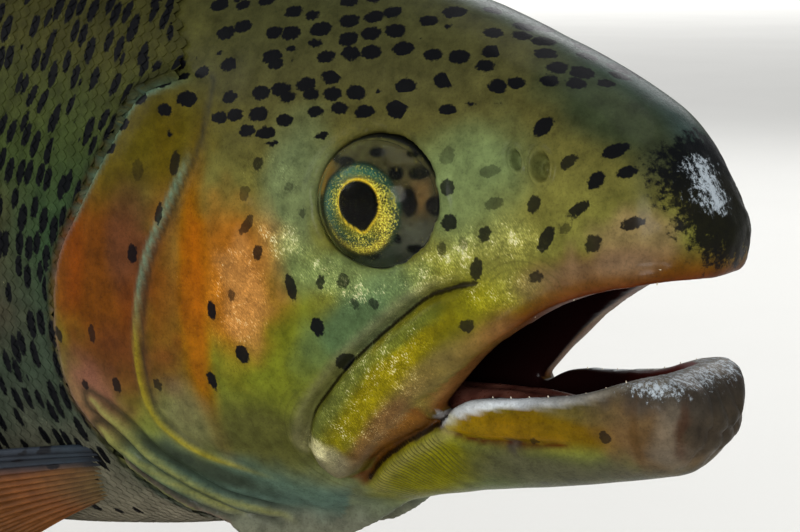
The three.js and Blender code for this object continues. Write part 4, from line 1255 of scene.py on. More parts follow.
@dataclass(frozen=True)
class PlainMottled:
    """A surface of one stuff with a fine uneven tone: flesh, enamel, steel or paint by its numbers."""

    name: str
    light: str
    dark: str
    patch_mm: float
    grain_mm: float
    roughness: tuple[float, float]
    metallic: float = 0.0
    stretch: tuple[float, float, float] = (1, 1, 1)
    bump_mm: float = 0.05
    gloss: float = 0.0

    def make(self) -> bpy.types.Material:
        """Builds the material.

        Returns:
            the finished material.
        """
        material, tree, shader, place = start(self.name)
        place = add(tree, "Mapping", {"Vector": place, "Scale": self.stretch})
        patches = add(tree, "TexNoise",
                      {"Vector": place, "Scale": 1 / self.patch_mm, "Detail": 5, "Roughness": 0.6})
        amount = add(tree, "MapRange", {0: patches, 1: 0.32, 2: 0.68, 3: 0, 4: 1})
        colour = add(tree, "Mix", {0: amount, 6: rgba(self.dark), 7: rgba(self.light)}, out=2,
                     data_type="RGBA")
        tree.links.new(colour, shader.inputs["Base Color"])
        grain = add(tree, "TexNoise", {"Vector": place, "Scale": 1 / self.grain_mm, "Detail": 3})
        rough = add(tree, "MapRange", {0: grain, 1: 0.3, 2: 0.7, 3: self.roughness[0], 4: self.roughness[1]})
        tree.links.new(rough, shader.inputs["Roughness"])
        normal = add(tree, "Bump", {"Strength": 0.3, "Distance": self.bump_mm * MM, "Height": grain})
        tree.links.new(normal, shader.inputs["Normal"])
        shader.inputs["Metallic"].default_value = self.metallic
        shader.inputs["Coat Weight"].default_value = self.gloss
        shader.inputs["Coat Roughness"].default_value = 0.08
        return material


@dataclass(frozen=True)
class StainedOak:
    """Dark stained oak under satin lacquer: long grain with open pores, darker in the pores."""

    name: str = "stained_oak"
    ring_mm: float = 7.0
    pore_mm: float = 0.5

    def make(self) -> bpy.types.Material:
        """Builds the material.

        Returns:
            the finished material.
        """
        material, tree, shader, place = start(self.name)
        long = add(tree, "Mapping", {"Vector": place, "Scale": (0.06, 1, 1)})
        warp = add(tree, "TexNoise", {"Vector": long, "Scale": 0.05, "Detail": 3, "Distortion": 0.6})
        rings = add(tree, "TexNoise", {"Vector": long, "Scale": 1 / self.ring_mm, "Detail": 4,
                                       "Distortion": 0.8})
        sum_of = add(tree, "Math", {0: warp, 1: 0.6, 2: rings}, operation="MULTIPLY_ADD")
        tone = add(tree, "MapRange", {0: sum_of, 1: 0.55, 2: 1.05, 3: 0, 4: 1})
        colour = add(tree, "Mix", {0: tone, 6: rgba("#2b1a10"), 7: rgba("#5f3f26")}, out=2, data_type="RGBA")
        pores = add(tree, "Mapping", {"Vector": place, "Scale": (0.05, 1, 1)})
        pores = add(tree, "TexNoise", {"Vector": pores, "Scale": 1 / self.pore_mm, "Detail": 2})
        open_pore = add(tree, "MapRange", {0: pores, 1: 0.6, 2: 0.68, 3: 0, 4: 1},
                        interpolation_type="SMOOTHSTEP")
        faint = add(tree, "Math", {0: open_pore, 1: 0.6}, operation="MULTIPLY")
        colour = add(tree, "Mix", {0: faint, 6: colour, 7: rgba("#170d08")}, out=2, data_type="RGBA")
        tree.links.new(colour, shader.inputs["Base Color"])
        rough = add(tree, "MapRange", {0: open_pore, 1: 0, 2: 1, 3: 0.34, 4: 0.6})
        tree.links.new(rough, shader.inputs["Roughness"])
        normal = add(tree, "Bump", {"Strength": 0.4, "Distance": 0.12 * MM, "Height": open_pore})
        tree.links.new(normal, shader.inputs["Normal"])
        shader.inputs["Coat Weight"].default_value = 0.35
        shader.inputs["Coat Roughness"].default_value = 0.2
        return material


# ------------------------------------------------------------------------- skin
class Squeeze:
    """Shrinks the space behind the head, so that one voxel size gives fine detail where it matters."""

    def __init__(self, fine_to: float = 99, coarse_from: float = 122, scale: float = 0.16) -> None:
        """Tabulates the shrunken distance.

        Args:
            fine_to: the head's space is left alone up to here.
            coarse_from: from here on everything is at the small scale.
            scale: the size of the tail's space.
        """
        self.s = np.linspace(-20, 460, 2000)
        self.scale = blend(1.0, scale, smooth(fine_to, coarse_from, self.s))
        steps = np.diff(self.s) * (self.scale[1:] + self.scale[:-1]) / 2
        self.squeezed = self.s[0] + np.concatenate([[0], np.cumsum(steps)])

    def shrink(self, points: Array) -> Array:
        """From the fish's space into the shrunken one."""
        scale = np.interp(points[:, 0], self.s, self.scale)
        return np.column_stack([np.interp(points[:, 0], self.s, self.squeezed),
                                points[:, 1:] * scale[:, None]])

    def restore(self, points: Array) -> Array:
        """From the shrunken space back into the fish's."""
        s = np.interp(points[:, 0], self.squeezed, self.s)
        return np.column_stack([s, points[:, 1:] / np.interp(s, self.s, self.scale)[:, None]])


def side_block(name: str, outline: Sequence[tuple[float, float]], half_depth: float = 70) -> bpy.types.Object:
    """A block pushed through the fish from side to side, to cut with.

    Args:
        name: the object's name.
        outline: its corners in (s, z).
        half_depth: how far it reaches to each side.

    Returns:
        The block, in the fish's space.
    """
    shape = bmesh.new()
    face = shape.faces.new([shape.verts.new((s, -half_depth, z)) for s, z in outline])
    pushed = bmesh.ops.extrude_face_region(shape, geom=[face])
    verts = [item for item in pushed["geom"] if isinstance(item, bmesh.types.BMVert)]
    bmesh.ops.translate(shape, verts=verts, vec=(0, 2 * half_depth, 0))
    bmesh.ops.recalc_face_normals(shape, faces=shape.faces)
    return new_object(name, finish_mesh(shape, name))


def carve(piece: bpy.types.Object, tool: bpy.types.Object, operation: str = "DIFFERENCE") -> None:
    """Cuts the piece with a tool, or keeps only what the tool covers."""
    applied(piece, "BOOLEAN", object=tool, operation=operation, solver="EXACT")


def discard(*tools: bpy.types.Object) -> None:
    """Deletes objects that were only used to cut with."""
    for tool in tools:
        bpy.data.objects.remove(tool)


def refine(mesh: bpy.types.Mesh, wanted: Callable[[Array], Array]) -> None:
    """Splits each face in four where the wanted test holds for the middles of its edges."""
    shape = bmesh.new()
    shape.from_mesh(mesh)
    middles = np.array([(edge.verts[0].co + edge.verts[1].co) / 2 for edge in shape.edges])
    chosen = [edge for edge, hit in zip(list(shape.edges), wanted(middles)) if hit]
    bmesh.ops.subdivide_edges(shape, edges=chosen, cuts=1, use_grid_fill=True)
    shape.to_mesh(mesh)
    shape.free()
    mesh.update()


@dataclass(frozen=True)
class NostrilPlace:
    """One nostril: its place, its half length and half height, and how deep it goes."""

    s: float
    z: float
    half_length: float
    half_height: float
    lean: float
    depth: float

    def ring(self, s: Array, z: Array) -> Array:
        """Distance from its middle as a share of its size."""
        cosine, sine = math.cos(self.lean), math.sin(self.lean)
        along, up = (s - self.s) * cosine + (z - self.z) * sine, (z - self.z) * cosine - (s - self.s) * sine
        return np.hypot(along / self.half_length, up / self.half_height)


FRONT_NOSTRIL = NostrilPlace(18.4, 10.5, 1.25, 1.9, math.radians(-14), 1.7)
REAR_NOSTRIL = NostrilPlace(21.7, 11.3, 0.75, 1.45, math.radians(-22), 1.5)


@dataclass(frozen=True)
class Relief:
    """The plates, rims, folds and grooves that stand out of the smooth body."""

    maxilla: float = 1.25
    gill_cover: float = 1.0
    under_scales: float = 0.22

    @staticmethod
    def covered(s: Array, z: Array) -> Array:
        """How fully the scales cover each place; on the nape they rise out of the skin little by little."""
        behind = -COAT_EDGE.measure(s, z)[0]
        return smooth(blend(-0.6, 0.5, smooth(22, 26, z)), blend(0.6, 7, smooth(22, 26, z)), behind)

    def lift(self, points: Array, outward: Array) -> Array:
        """How far the surface stands out at each place, in mm.

        Args:
            points: (s, y, z) rows.
            outward: the smooth surface's unit normals.

        Returns:
            one height for each point.
        """
        s, y, z = points.T
        out = np.abs(y)
        sideways = outward[:, 1] * np.where(y < 0, -1, 1)
        side = smooth(0.0, 0.4, sideways)
        low = smooth(-0.1, 0.3, np.maximum(sideways, -outward[:, 2]))
        noise = lattice_noise(points, 3.5, 21)
        total = 0.07 * noise * smooth(75, 60, s)
        # The jaw plate with its free rear end
        reach = np.abs(MAXILLA.measure(s, z)[0]) * np.where(MAXILLA.holds(s, z), 1, -1)
        grown = smooth(24, 36, s) * side
        total += grown * self.maxilla * smooth(-0.25, 1.3, reach) - grown * 0.55 * bump(reach + 0.9, 0.7)
        crease, along = MAXILLA_TOP.measure(s, z)
        total -= 0.9 * bump(crease + 0.35, 0.5) * side * smooth(0.04, 0.2, along)
        total += 0.4 * bump(crease + 1.8, 0.9) * side * smooth(0.1, 0.3, along)
        total += 0.35 * bump(reach - 3.2, 1.6) * grown
        # The gill cover, its plates and the slot behind it
        edge, along = GILL_EDGE.measure(s, z)
        ends = smooth(0.03, 0.16, along) * low
        total += ends * (self.gill_cover * smooth(-0.3, 0.7, edge) * smooth(13, 3, edge) - 0.9
                         * bump(edge + 1.0, 0.9))
        fold, along = CORNER_FOLD.measure(s, z)
        total += side * smooth(1.0, 0.8,
                               along) * (0.35 * bump(fold - 1.3, 0.9) - 0.9 * bump(fold + 0.3, 0.55))
        ridge, along = PREOPERCLE.measure(s, z)
        ends = smooth(0.05, 0.2, along) * smooth(0.95, 0.7, along) * low
        total += ends * (0.22 * bump(ridge, 0.55) - 0.3 * bump(ridge + 1.2, 0.7) - 0.15
                         * bump(ridge - 1.5, 1.0))
        for line in GILL_RAYS:
            away, along = line.measure(s, z)
            total += low * smooth(0, 0.08, along) * smooth(1, 0.85, along) * (
                0.75 * bump(away, 0.8) - 0.5 * bump(np.abs(away) - 1.7, 0.6))
        # Lips and the jaw's folds
        above, along = UPPER_LIP.measure(s, z)
        total += side * smooth(0.95, 0.75, along) * smooth(1, 5, s) * (
            0.35 * bump(above + 1.1, 0.9) - 0.3 * bump(above + 2.7, 0.8))
        total += 1.0 * smooth(4.5, 0, s) * bump(z - 1.2, 3.6)
        below, along = LOWER_LIP.measure(s, z)
        on_jaw = low * smooth(0.0, 0.6, below) * smooth(1.0, 0.9, along)
        total += on_jaw * (-0.35 * bump(below - 1.8, 0.5) + 0.3 * bump(below - 3.2, 1.0))
        fold, along = JAW_FOLD.measure(s, z)
        total += side * smooth(1.0, 0.6,
                               along) * (-0.6 * bump(fold, 0.45) + 0.3 * bump(np.abs(fold) - 1.3, 0.7))
        chin = smooth(7, 2, s) * smooth(-14.5, -18, z)
        total += chin * (-0.7 * bump(out, 0.4) - 0.55 * bump(out - 3.1 + 0.12 * (z + 22), 0.35) + 0.25
                         * noise)
        knob = np.hypot((s - 3.5) / 4.5, (z + 15.5) / 3.4)
        total += 0.55 * smooth(1.2, 0.3, knob)
        # Eye rim and cheek
        ring = EYE.ring(s, out, z)
        total += 0.32 * bump((ring - 1.03) * 9, 0.7) - 0.25 * bump((ring - 1.2) * 9, 0.9)
        below_eye = EYE_FOLD.measure(s, z)[0]
        total += side * (0.45 * bump(below_eye, 1.4) - 0.3 * bump(below_eye - 2.2, 1.0))
        # Nostrils
        for nostril in (FRONT_NOSTRIL, REAR_NOSTRIL):
            share = nostril.ring(s, z)
            total += side * (0.42 * bump((share - 1.12) * nostril.half_length, 0.3)
                             - nostril.depth * smooth(1.02, 0.5, share))
        total += side * 0.5 * bump(FRONT_NOSTRIL.ring(s, z), 0.42)
        total += 0.18 * lattice_noise(points, 1.1, 31) * smooth(6, 2, s) * smooth(-3, 0, z)
        return total - self.under_scales * self.covered(s, z)


RELIEF = Relief()


def in_mouth(points: Array, grow: float = 0.9) -> Array:
    """True for places in the hollow of the mouth or on its walls."""
    s, y, z = points.T
    clipped = np.clip(s, 3, 66)
    within = (z < MOUTH.top(clipped) + grow) & (z > MOUTH.bottom(clipped) - grow)
    return within & (np.abs(y) < MOUTH.side_at(clipped, z, grow) + 0.15) & (s < 68) & (s > 1.8)


@dataclass
class Skin:
    """The one seamless skin of head, jaws, trunk and tail stem."""

    markings: Markings
    voxel: float = 0.65
    ring: int = 96
    squeeze: Squeeze = field(default_factory=Squeeze)

    def rough_form(self) -> bpy.types.Object:
        """The body with its mouth cut open, its lower jaw hung under it, and sockets for the eyes.

        Returns:
            the new object.
        """
        nose_turns = np.linspace(0, np.pi / 2, 9)
        stations = [*(8 * (1 - np.cos(nose_turns))), *np.arange(10, 60, 2.5), *np.arange(60, 400, 6), 400]
        body = new_object("skin", finish_mesh(loft([BODY.section(s, self.ring) for s in stations]), "skin"))
        opening = side_block("mouth_opening", [*UPPER_LIP.points, (38, -21.8), (38, -90), (-20, -90)])
        jaw_stations = [*(7 * (1 - np.cos(nose_turns))), *np.arange(9, 64, 2.5)]
        jaw = new_object("jaw", finish_mesh(loft([JAW.section(s, self.ring) for s in jaw_stations]), "jaw"))
        under_lip = side_block("under_lip", [*LOWER_LIP.points, (44, -18), (70, -14), (70, -90), (-20, -90)])
        hollow = new_object("hollow", finish_mesh(loft([MOUTH.section(s, 48)
                                                        for s in np.linspace(3, 66, 22)]),
                                                  "hollow"))
        carve(body, opening)
        carve(jaw, under_lip, "INTERSECT")
        carve(body, jaw, "UNION")
        carve(body, hollow)
        for side in (-1, 1):
            socket = self.socket(side)
            carve(body, socket)
            hem = self.gill_hem(side)
            carve(body, hem, "UNION")
            discard(socket, hem)
        discard(opening, under_lip, hollow, jaw)
        return body

    @staticmethod
    def socket(side: int, room: float = 0.1) -> bpy.types.Object:
        """The space that an eye takes up."""
        shape = bmesh.new()
        bmesh.ops.create_uvsphere(shape, u_segments=48, v_segments=24, radius=1)
        for vert in shape.verts:
            forward, up, outward = vert.co
            vert.co = EYE.fish(np.array([forward * (EYE.long + room)]), np.array([up * (EYE.high + room)]),
                               np.array([outward * (EYE.deep + room)]), side)[0]
        bmesh.ops.recalc_face_normals(shape, faces=shape.faces)
        return new_object("socket", finish_mesh(shape, "socket"))

    @staticmethod
    def gill_hem(side: int) -> bpy.types.Object:
        """The loose lower edge of the gill membrane, hanging in a fold under the throat.

        Args:
            side: 1 for the fish's left, -1 for its right.

        Returns:
            the new object.
        """
        path = ((88, 20.2, -31.6), (84, 17.2, -35.6), (79, 13, -39.4), (73, 9, -41.6), (67, 6.6, -41.8),
                (60, 5, -39.8), (53, 3.8, -36.8), (48, 3, -34))
        radii = (0.8, 1.2, 1.6, 2.2, 2.7, 2.6, 1.9, 1.0)
        steps = np.linspace(0, len(path) - 1, 22)
        knots = np.arange(len(path))
        centres = np.column_stack([np.interp(steps, knots, np.array(path)[:, k]) for k in range(3)])
        centres = relax(centres, np.column_stack([np.arange(21), np.arange(1, 22)]), 3,
                        np.where((steps > 0) & (steps < len(path) - 1), 0.5, 0))
        width = np.interp(steps, knots, radii)
        around = np.linspace(0, 2 * np.pi, 14, endpoint=False)
        rings = []
        for k, (centre, radius) in enumerate(zip(centres, width)):
            ahead = centres[min(k + 1, 21)] - centres[max(k - 1, 0)]
            ahead /= np.linalg.norm(ahead)
            across = np.cross(ahead, (0, 0, 1.0))
            across /= np.linalg.norm(across)
            up = np.cross(across, ahead)
            ring = centre + radius * (0.55 * np.cos(around)[:, None] * across + np.sin(around)[:, None] * up)
            rings.append(ring * (1, side, 1))
        return new_object("gill_hem", finish_mesh(loft(rings), "gill_hem"))

    def build(self) -> bpy.types.Object:
        """Makes the skin."""
        skin = self.rough_form()
        set_positions(skin.data, self.squeeze.shrink(positions(skin.data)))
        applied(skin, "REMESH", mode="VOXEL", voxel_size=self.voxel, use_smooth_shade=True)
        mesh = skin.data
        edges = np.empty(len(mesh.edges) * 2, np.int32)
        mesh.edges.foreach_get("vertices", edges)
        points = relax(positions(mesh), edges.reshape(-1, 2), 4, 0.5)
        set_positions(mesh, self.settled(self.squeeze.restore(points)))
        for reach in (1.9, 1.5):
            refine(mesh, lambda at: (np.minimum(FRONT_NOSTRIL.ring(at[:, 0], at[:, 2]),
                                                REAR_NOSTRIL.ring(at[:, 0], at[:, 2])) < reach)
                   & (np.abs(at[:, 1]) > 5))
        refine(mesh, lambda at: (self.markings.crease(at) < 1.1) & (at[:, 0] < 60) & (np.abs(at[:, 1]) > 7))
        points = positions(mesh)
        outward = normals(mesh)
        mouth = in_mouth(points)
        lift = np.where(mouth, 0, RELIEF.lift(points, outward))
        points = points + outward * lift[:, None]
        self.dress(mesh, points, mouth)
        set_positions(mesh, ATTITUDE.place(points))
        log.info("skin: %d vertices, %d triangles", len(mesh.vertices),
                 sum(len(f.vertices) - 2 for f in mesh.polygons))
        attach(skin, "root")
        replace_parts(skin, "head", "lower_jaw", "maxilla_right", "maxilla_left", "gill_cover_right",
                    "gill_cover_left", "throat_right", "throat_left", "trunk_front", "trunk_rear",
                    "tail_stem")
        return skin

    @staticmethod
    def settled(points: Array) -> Array:
        """The trunk's points laid exactly on the body's form, which the squeeze has left a little rough."""
        exact = BODY.place(points[:, 0], BODY.angle(points))
        exact[:, 1] *= np.where(points[:, 1] < 0, -1, 1)
        trunk = smooth(97, 103, points[:, 0]) * smooth(399, 396, points[:, 0])
        return blend(points, exact, trunk)

    def dress(self, mesh: bpy.types.Mesh, points: Array, mouth: Array) -> None:
        """Paints the skin and gives it its material."""
        s, out, z = points[:, 0], np.abs(points[:, 1]), points[:, 2]
        store(mesh, "tint", self.markings.tint(points))
        store(mesh, "flank_cells", self.markings.flank_cells(points))
        store(mesh, "crown_cells", self.markings.crown_cells(points))
        store(mesh, "crease", np.where(mouth, 2, self.markings.crease(points)))
        spot, darkness = self.markings.spots.field(points)
        store(mesh, "spot", np.where(EYE.ring(s, out, z) < 0.97, 0.9, spot))
        store(mesh, "darkness", darkness)
        store(mesh, "gleam", self.markings.gleam(points))
        bound = np.interp(z, (-2.5, 1, 5, 9, 12, 16), (-1.5, 0.6, 2.4, 4.4, 5.0, 2.0))
        store(mesh, "tip", np.where(z > -3.2, (bound - s) * 1.1 + 0.6, -9))
        middle = np.interp(z, (3, 4.6, 6, 10.5, 13), (-3, 0.9, 1.7, 1.3, -3))
        snout_patch = middle - 0.7 * np.abs(points[:, 1] + 2.0) - 0.4 * np.maximum(s - 5, 0)
        jaw_patch = 1.2 - 1.7 * np.hypot((s - 5.5) / 4.5, (z + 15.2) / 1.5)
        store(mesh, "worn", np.maximum(snout_patch, jaw_patch))
        # Inside the mouth the flesh's colour darkens towards the throat as painted shade
        deep = smooth(6, 26, s + 0.5 * np.abs(z + 12))
        flesh = blend(blend(linear("#5e241c"), linear("#8a4b3e"), smooth(30, 40, s)), linear("#150606"), deep)
        store(mesh, "mouth_shaded_tint", flesh)
        store(mesh, "inside", mouth.astype(float))
        # Fans of fine wrinkles; the skin's material darkens their lines as painted shade and bumps them
        below_fold, along_fold = CORNER_FOLD.measure(s, z)
        fan = smooth(0.3, 1.2, below_fold) * smooth(8, 3.5, below_fold) * smooth(0.05, 0.15, along_fold) \
            * smooth(0.98, 0.85, along_fold)
        tail_ring = np.hypot(s - 50.5, (z + 25.5) * 0.8)
        behind_plate = bump(tail_ring - 6.2, 1.6) * smooth(51, 54, s) * ~MAXILLA.holds(s, z)
        lip_ring = np.hypot(s - 21, z + 7)
        snout_fan = bump(lip_ring - 6.5, 2.2) * smooth(-6, -3, z) * smooth(28, 23, s) * smooth(13, 17, s)
        depth = np.maximum(np.maximum(fan * 0.8, behind_plate * 0.3), snout_fan * 0.25)
        phase = np.where(fan * 0.8 >= depth, along_fold * 190 + 0.25 * below_fold,
                         np.where(behind_plate * 0.5 >= depth, tail_ring * 7, lip_ring * 7))
        store(mesh, "fold", phase)
        store(mesh, "fold_depth", np.where(mouth, 0, depth))
        mesh.materials.append(WetSkin().make())


# ------------------------------------------------------------------------- eyes and mouth
@dataclass
class Eye:
    """One eye: a solid body with a painted front, under a clear dome."""

    side: int
    name: str
    iris_middle: tuple[float, float] = (-2.35, -0.7)
    iris_size: tuple[float, float] = (5.9, 5.9)
    pupil_middle: tuple[float, float] = (-2.3, 0.1)
    pupil_size: tuple[float, float] = (2.85, 2.85)
    dish: float = 3.3
    limbus: float = 0.93
    rings: int = 72
    spokes: int = 144
    blots: tuple[tuple[float, ...], ...] = (
        (4.8, 0.2, 1.2, 1.75), (8.1, -0.3, 1.3, 1.2), (3.05, 3.85, 1.1, 0.85), (6.2, 3.7, 1.25, 0.8),
        (0.5, 6.4, 1.1, 0.55), (-4.2, 5.3, 1.2, 0.6), (-5.7, 6.2, 0.45, 1.4), (-8.4, -0.4, 0.4, 1.5),
        (2.8, -4.2, 0.6, 0.6), (5.0, -5.6, 1.1, 0.5), (-1.2, -6.6, 1.1, 0.4), (-4.2, -6.5, 0.9, 0.4),
        (5.5, 6.0, 0.9, 0.4))

    def front(self, ring: Array) -> Array:
        """Outward height of the eye's front, flat under the dome and round outside it."""
        globe = self.dish_edge * np.sqrt(np.clip(1 - np.clip(ring, self.limbus, 1) ** 2, 0, 1)) \
            / math.sqrt(1 - self.limbus**2)
        return np.where(ring > self.limbus, globe,
                        blend(self.dish, self.dish_edge, smooth(0.55, self.limbus, ring)))

    @property
    def dish_edge(self) -> float:
        """Outward height of the ring where the dome meets the eye."""
        return EYE.deep * math.sqrt(1 - self.limbus**2) * 0.97

    def body(self) -> bpy.types.Object:
        """The iris, the pupil and the eye's white, as one closed solid.

        Returns:
            the new object.
        """
        shape = bmesh.new()
        bmesh.ops.create_uvsphere(shape, u_segments=self.spokes, v_segments=self.rings, radius=1)
        mesh = finish_mesh(shape, self.name)
        unit = positions(mesh)
        reach = np.hypot(unit[:, 0], unit[:, 1])
        # rings are spread evenly over the front instead of crowding at the rim
        polar = np.arccos(np.clip(unit[:, 2], -1, 1)) / (np.pi / 2)
        ring = np.where(unit[:, 2] > 0, polar, reach)
        scale = np.where(reach > 1e-6, ring / np.maximum(reach, 1e-6), 1)
        forward, up = unit[:, 0] * scale * EYE.long * 0.985, unit[:, 1] * scale * EYE.high * 0.985
        outward = np.where(unit[:, 2] > 0, self.front(ring), unit[:, 2] * EYE.deep * 0.985)
        from_pupil = np.hypot((forward - self.pupil_middle[0]) / self.pupil_size[0],
                              (up - self.pupil_middle[1]) / self.pupil_size[1])
        outward += np.where(unit[:, 2] > 0, 0.9 * np.sqrt(np.clip(1 - from_pupil**2, 0, 1)), 0)
        from_iris = np.hypot((forward - self.iris_middle[0]) / self.iris_size[0],
                             (up - self.iris_middle[1]) / self.iris_size[1])
        outward += np.where(unit[:, 2] > 0,
                            0.22 * bump((from_iris - 0.62) * 3, 1) - 0.2 * bump((from_iris - 1) * 6, 0.5), 0)
        points = EYE.fish(forward, up, outward, self.side)
        set_positions(mesh, ATTITUDE.place(points))
        tint, gleam = self.paint(forward, up, np.where(unit[:, 2] > 0, 1, 0), points)
        store(mesh, "tint", tint)
        store(mesh, "gleam", gleam)
        mesh.materials.append(Iris().make())
        eye = new_object(f"{self.name}_ball", mesh)
        if self.side > 0:
            mesh.flip_normals()
        mesh.shade_smooth()
        return eye

    def paint(self, forward: Array, up: Array, front: Array, points: Array) -> tuple[Array, Array]:
        """Colour of the eye's front, and how thickly gold lies in it."""
        x, y = forward - self.iris_middle[0], up - self.iris_middle[1]
        noise = lattice_noise(points, 1.1, 41)
        broad = lattice_noise(points, 2.6, 43)
        iris = np.hypot(x / self.iris_size[0], y / self.iris_size[1]) + 0.02 * noise
        around = np.arctan2(y, x)
        off_x, off_y = forward - self.pupil_middle[0], up - self.pupil_middle[1]
        turned = np.arctan2(off_y, off_x)
        beak = 0.2 * self.lobe(turned, -1.42, 0.3) + 0.06 * self.lobe(turned, -1.9, 0.5)
        pupil = np.hypot(off_x / self.pupil_size[0], off_y / self.pupil_size[1]) / (1 + beak)
        colour = ladder(((0.4, "#6f6614"), (0.58, "#3f4a1a"), (0.72, "#1f3d28"), (0.88, "#123430"),
                         (1.0, "#1a2a18")),
                        iris)
        gold = sum(strength * self.lobe(around, middle, width) * bump(iris - reach, depth)
                   for strength, middle, width, reach, depth in (
                       (1.0, 1.0, 0.8, 0.6, 0.14), (0.9, 1.8, 0.6, 0.55, 0.09), (0.9, -0.4, 0.5, 0.64, 0.16),
                       (1.0, -2.0, 0.75, 0.88, 0.08), (0.8, -1.1, 0.4, 0.86, 0.08),
                       (0.5, 2.8, 0.6, 0.54, 0.06)))
        colour = blend(colour, linear("#a88a10"), np.clip(gold, 0, 1) * (0.6 + 0.4 * noise))
        colour = blend(colour, linear("#2f6a55"), 0.6 * self.lobe(around, 1.5, 0.7) * bump(iris - 0.83, 0.09)
                       + 0.5 * self.lobe(around, 3.0, 0.6) * bump(iris - 0.8, 0.2))
        white = ladder(((-7, "#272e22"), (-3, "#343826"), (0, "#3a331a"), (4, "#33301a"), (8, "#424122")),
                       up + 1.6 * noise + 1.2 * broad)
        white = blend(white, linear("#45453a"), 0.6 * smooth(-0.5, -4, up + noise) * smooth(1, 5, forward))
        white = blend(white, linear("#5f4826"), 0.6 * smooth(0.6, -0.4, np.abs(forward - 6.3) - 1.0)
                      * smooth(3.2, 1, np.abs(up - 0.8)))
        white = white * (1 + 0.35 * lattice_noise(points, 0.5, 47))[:, None]
        white = blend(white, linear("#8a6a1c"), 0.5 * smooth(-5, -7, forward) * smooth(-3, 2, up))
        for spot_x, spot_y, long, short in self.blots:
            blot = np.hypot((forward - spot_x) / long, (up - spot_y) / short) + 0.25 * noise
            white = blend(white, linear("#030406"), 0.98 * smooth(1.25, 0.85, blot))
        colour = blend(colour, white, smooth(0.97, 1.05, iris))
        colour = blend(colour, linear("#10160f"), 0.6 * bump(iris - 1.0, 0.025) * smooth(5, 1, forward))
        for spot_x, spot_y, long, short in ((1.15, 0.35, 0.55, 0.7), (1.5, -0.9, 0.4, 0.4),
                                            (-4.2, 5.0, 1.1, 0.5)):
            blot = np.hypot((forward - spot_x) / long, (up - spot_y) / short) + 0.3 * noise
            colour = blend(colour, linear("#12130d"), 0.8 * smooth(1.2, 0.8, blot))
        colour = blend(colour, linear("#e9c52a"), 0.9 * bump(pupil - 1.06, 0.035))
        # The eye's outer rim, where it meets the socket, is darkened as painted shade
        ring = np.hypot(forward / EYE.long, up / EYE.high)
        colour = blend(colour, linear("#0b0d0b"), smooth(0.9, 0.925, ring))
        colour = blend(colour, linear("#010101"), smooth(1.03, 0.99, pupil))
        gleam = smooth(1.0, 0.9, iris) * smooth(1.0, 1.08,
                                                pupil) * (0.52 + 0.4 * np.clip(gold, 0, 1) + 0.25 * broad)
        return blend(linear("#0d0e0c"), colour, front), np.clip(gleam, 0, 1) * front

    @staticmethod
    def lobe(around: Array, middle: float, width: float) -> Array:
        """A soft bump round an angle."""
        return bump(np.angle(np.exp(1j * (around - middle))), width)

    def dome(self, thickness: float = 0.3) -> bpy.types.Object:
        """The clear cornea, a thin closed shell."""
        shape = bmesh.new()
        bmesh.ops.create_uvsphere(shape, u_segments=64, v_segments=48, radius=1)
        low = [vert for vert in shape.verts if vert.co.z < math.cos(math.radians(64.5))]
        bmesh.ops.delete(shape, geom=low, context="VERTS")
        bmesh.ops.recalc_face_normals(shape, faces=shape.faces)
        if max(shape.faces, key=lambda face: face.calc_center_median().z).normal.z < 0:
            bmesh.ops.reverse_faces(shape, faces=shape.faces)
        for vert in shape.verts:
            forward, up, outward = vert.co
            vert.co = (forward * EYE.long, up * EYE.high, outward * EYE.deep)
        bmesh.ops.solidify(shape, geom=shape.faces, thickness=thickness)
        mesh = finish_mesh(shape, f"{self.name}_cornea")
        points = positions(mesh)
        set_positions(mesh, ATTITUDE.place(EYE.fish(*points.T, self.side)))
        cleaned = bmesh.new()
        cleaned.from_mesh(mesh)
        bmesh.ops.recalc_face_normals(cleaned, faces=cleaned.faces)
        cleaned.to_mesh(mesh)
        cleaned.free()
        mesh.shade_smooth()
        mesh.materials.append(Cornea().make())
        return new_object(f"{self.name}_cornea", mesh)

    def build(self) -> None:
        """Makes the eye."""
        eye, dome = self.body(), self.dome()
        for piece in (eye, dome):
            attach(piece, "root")
            log.info("%s: %d faces", piece.name, len(piece.data.polygons))
        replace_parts(eye, self.name)


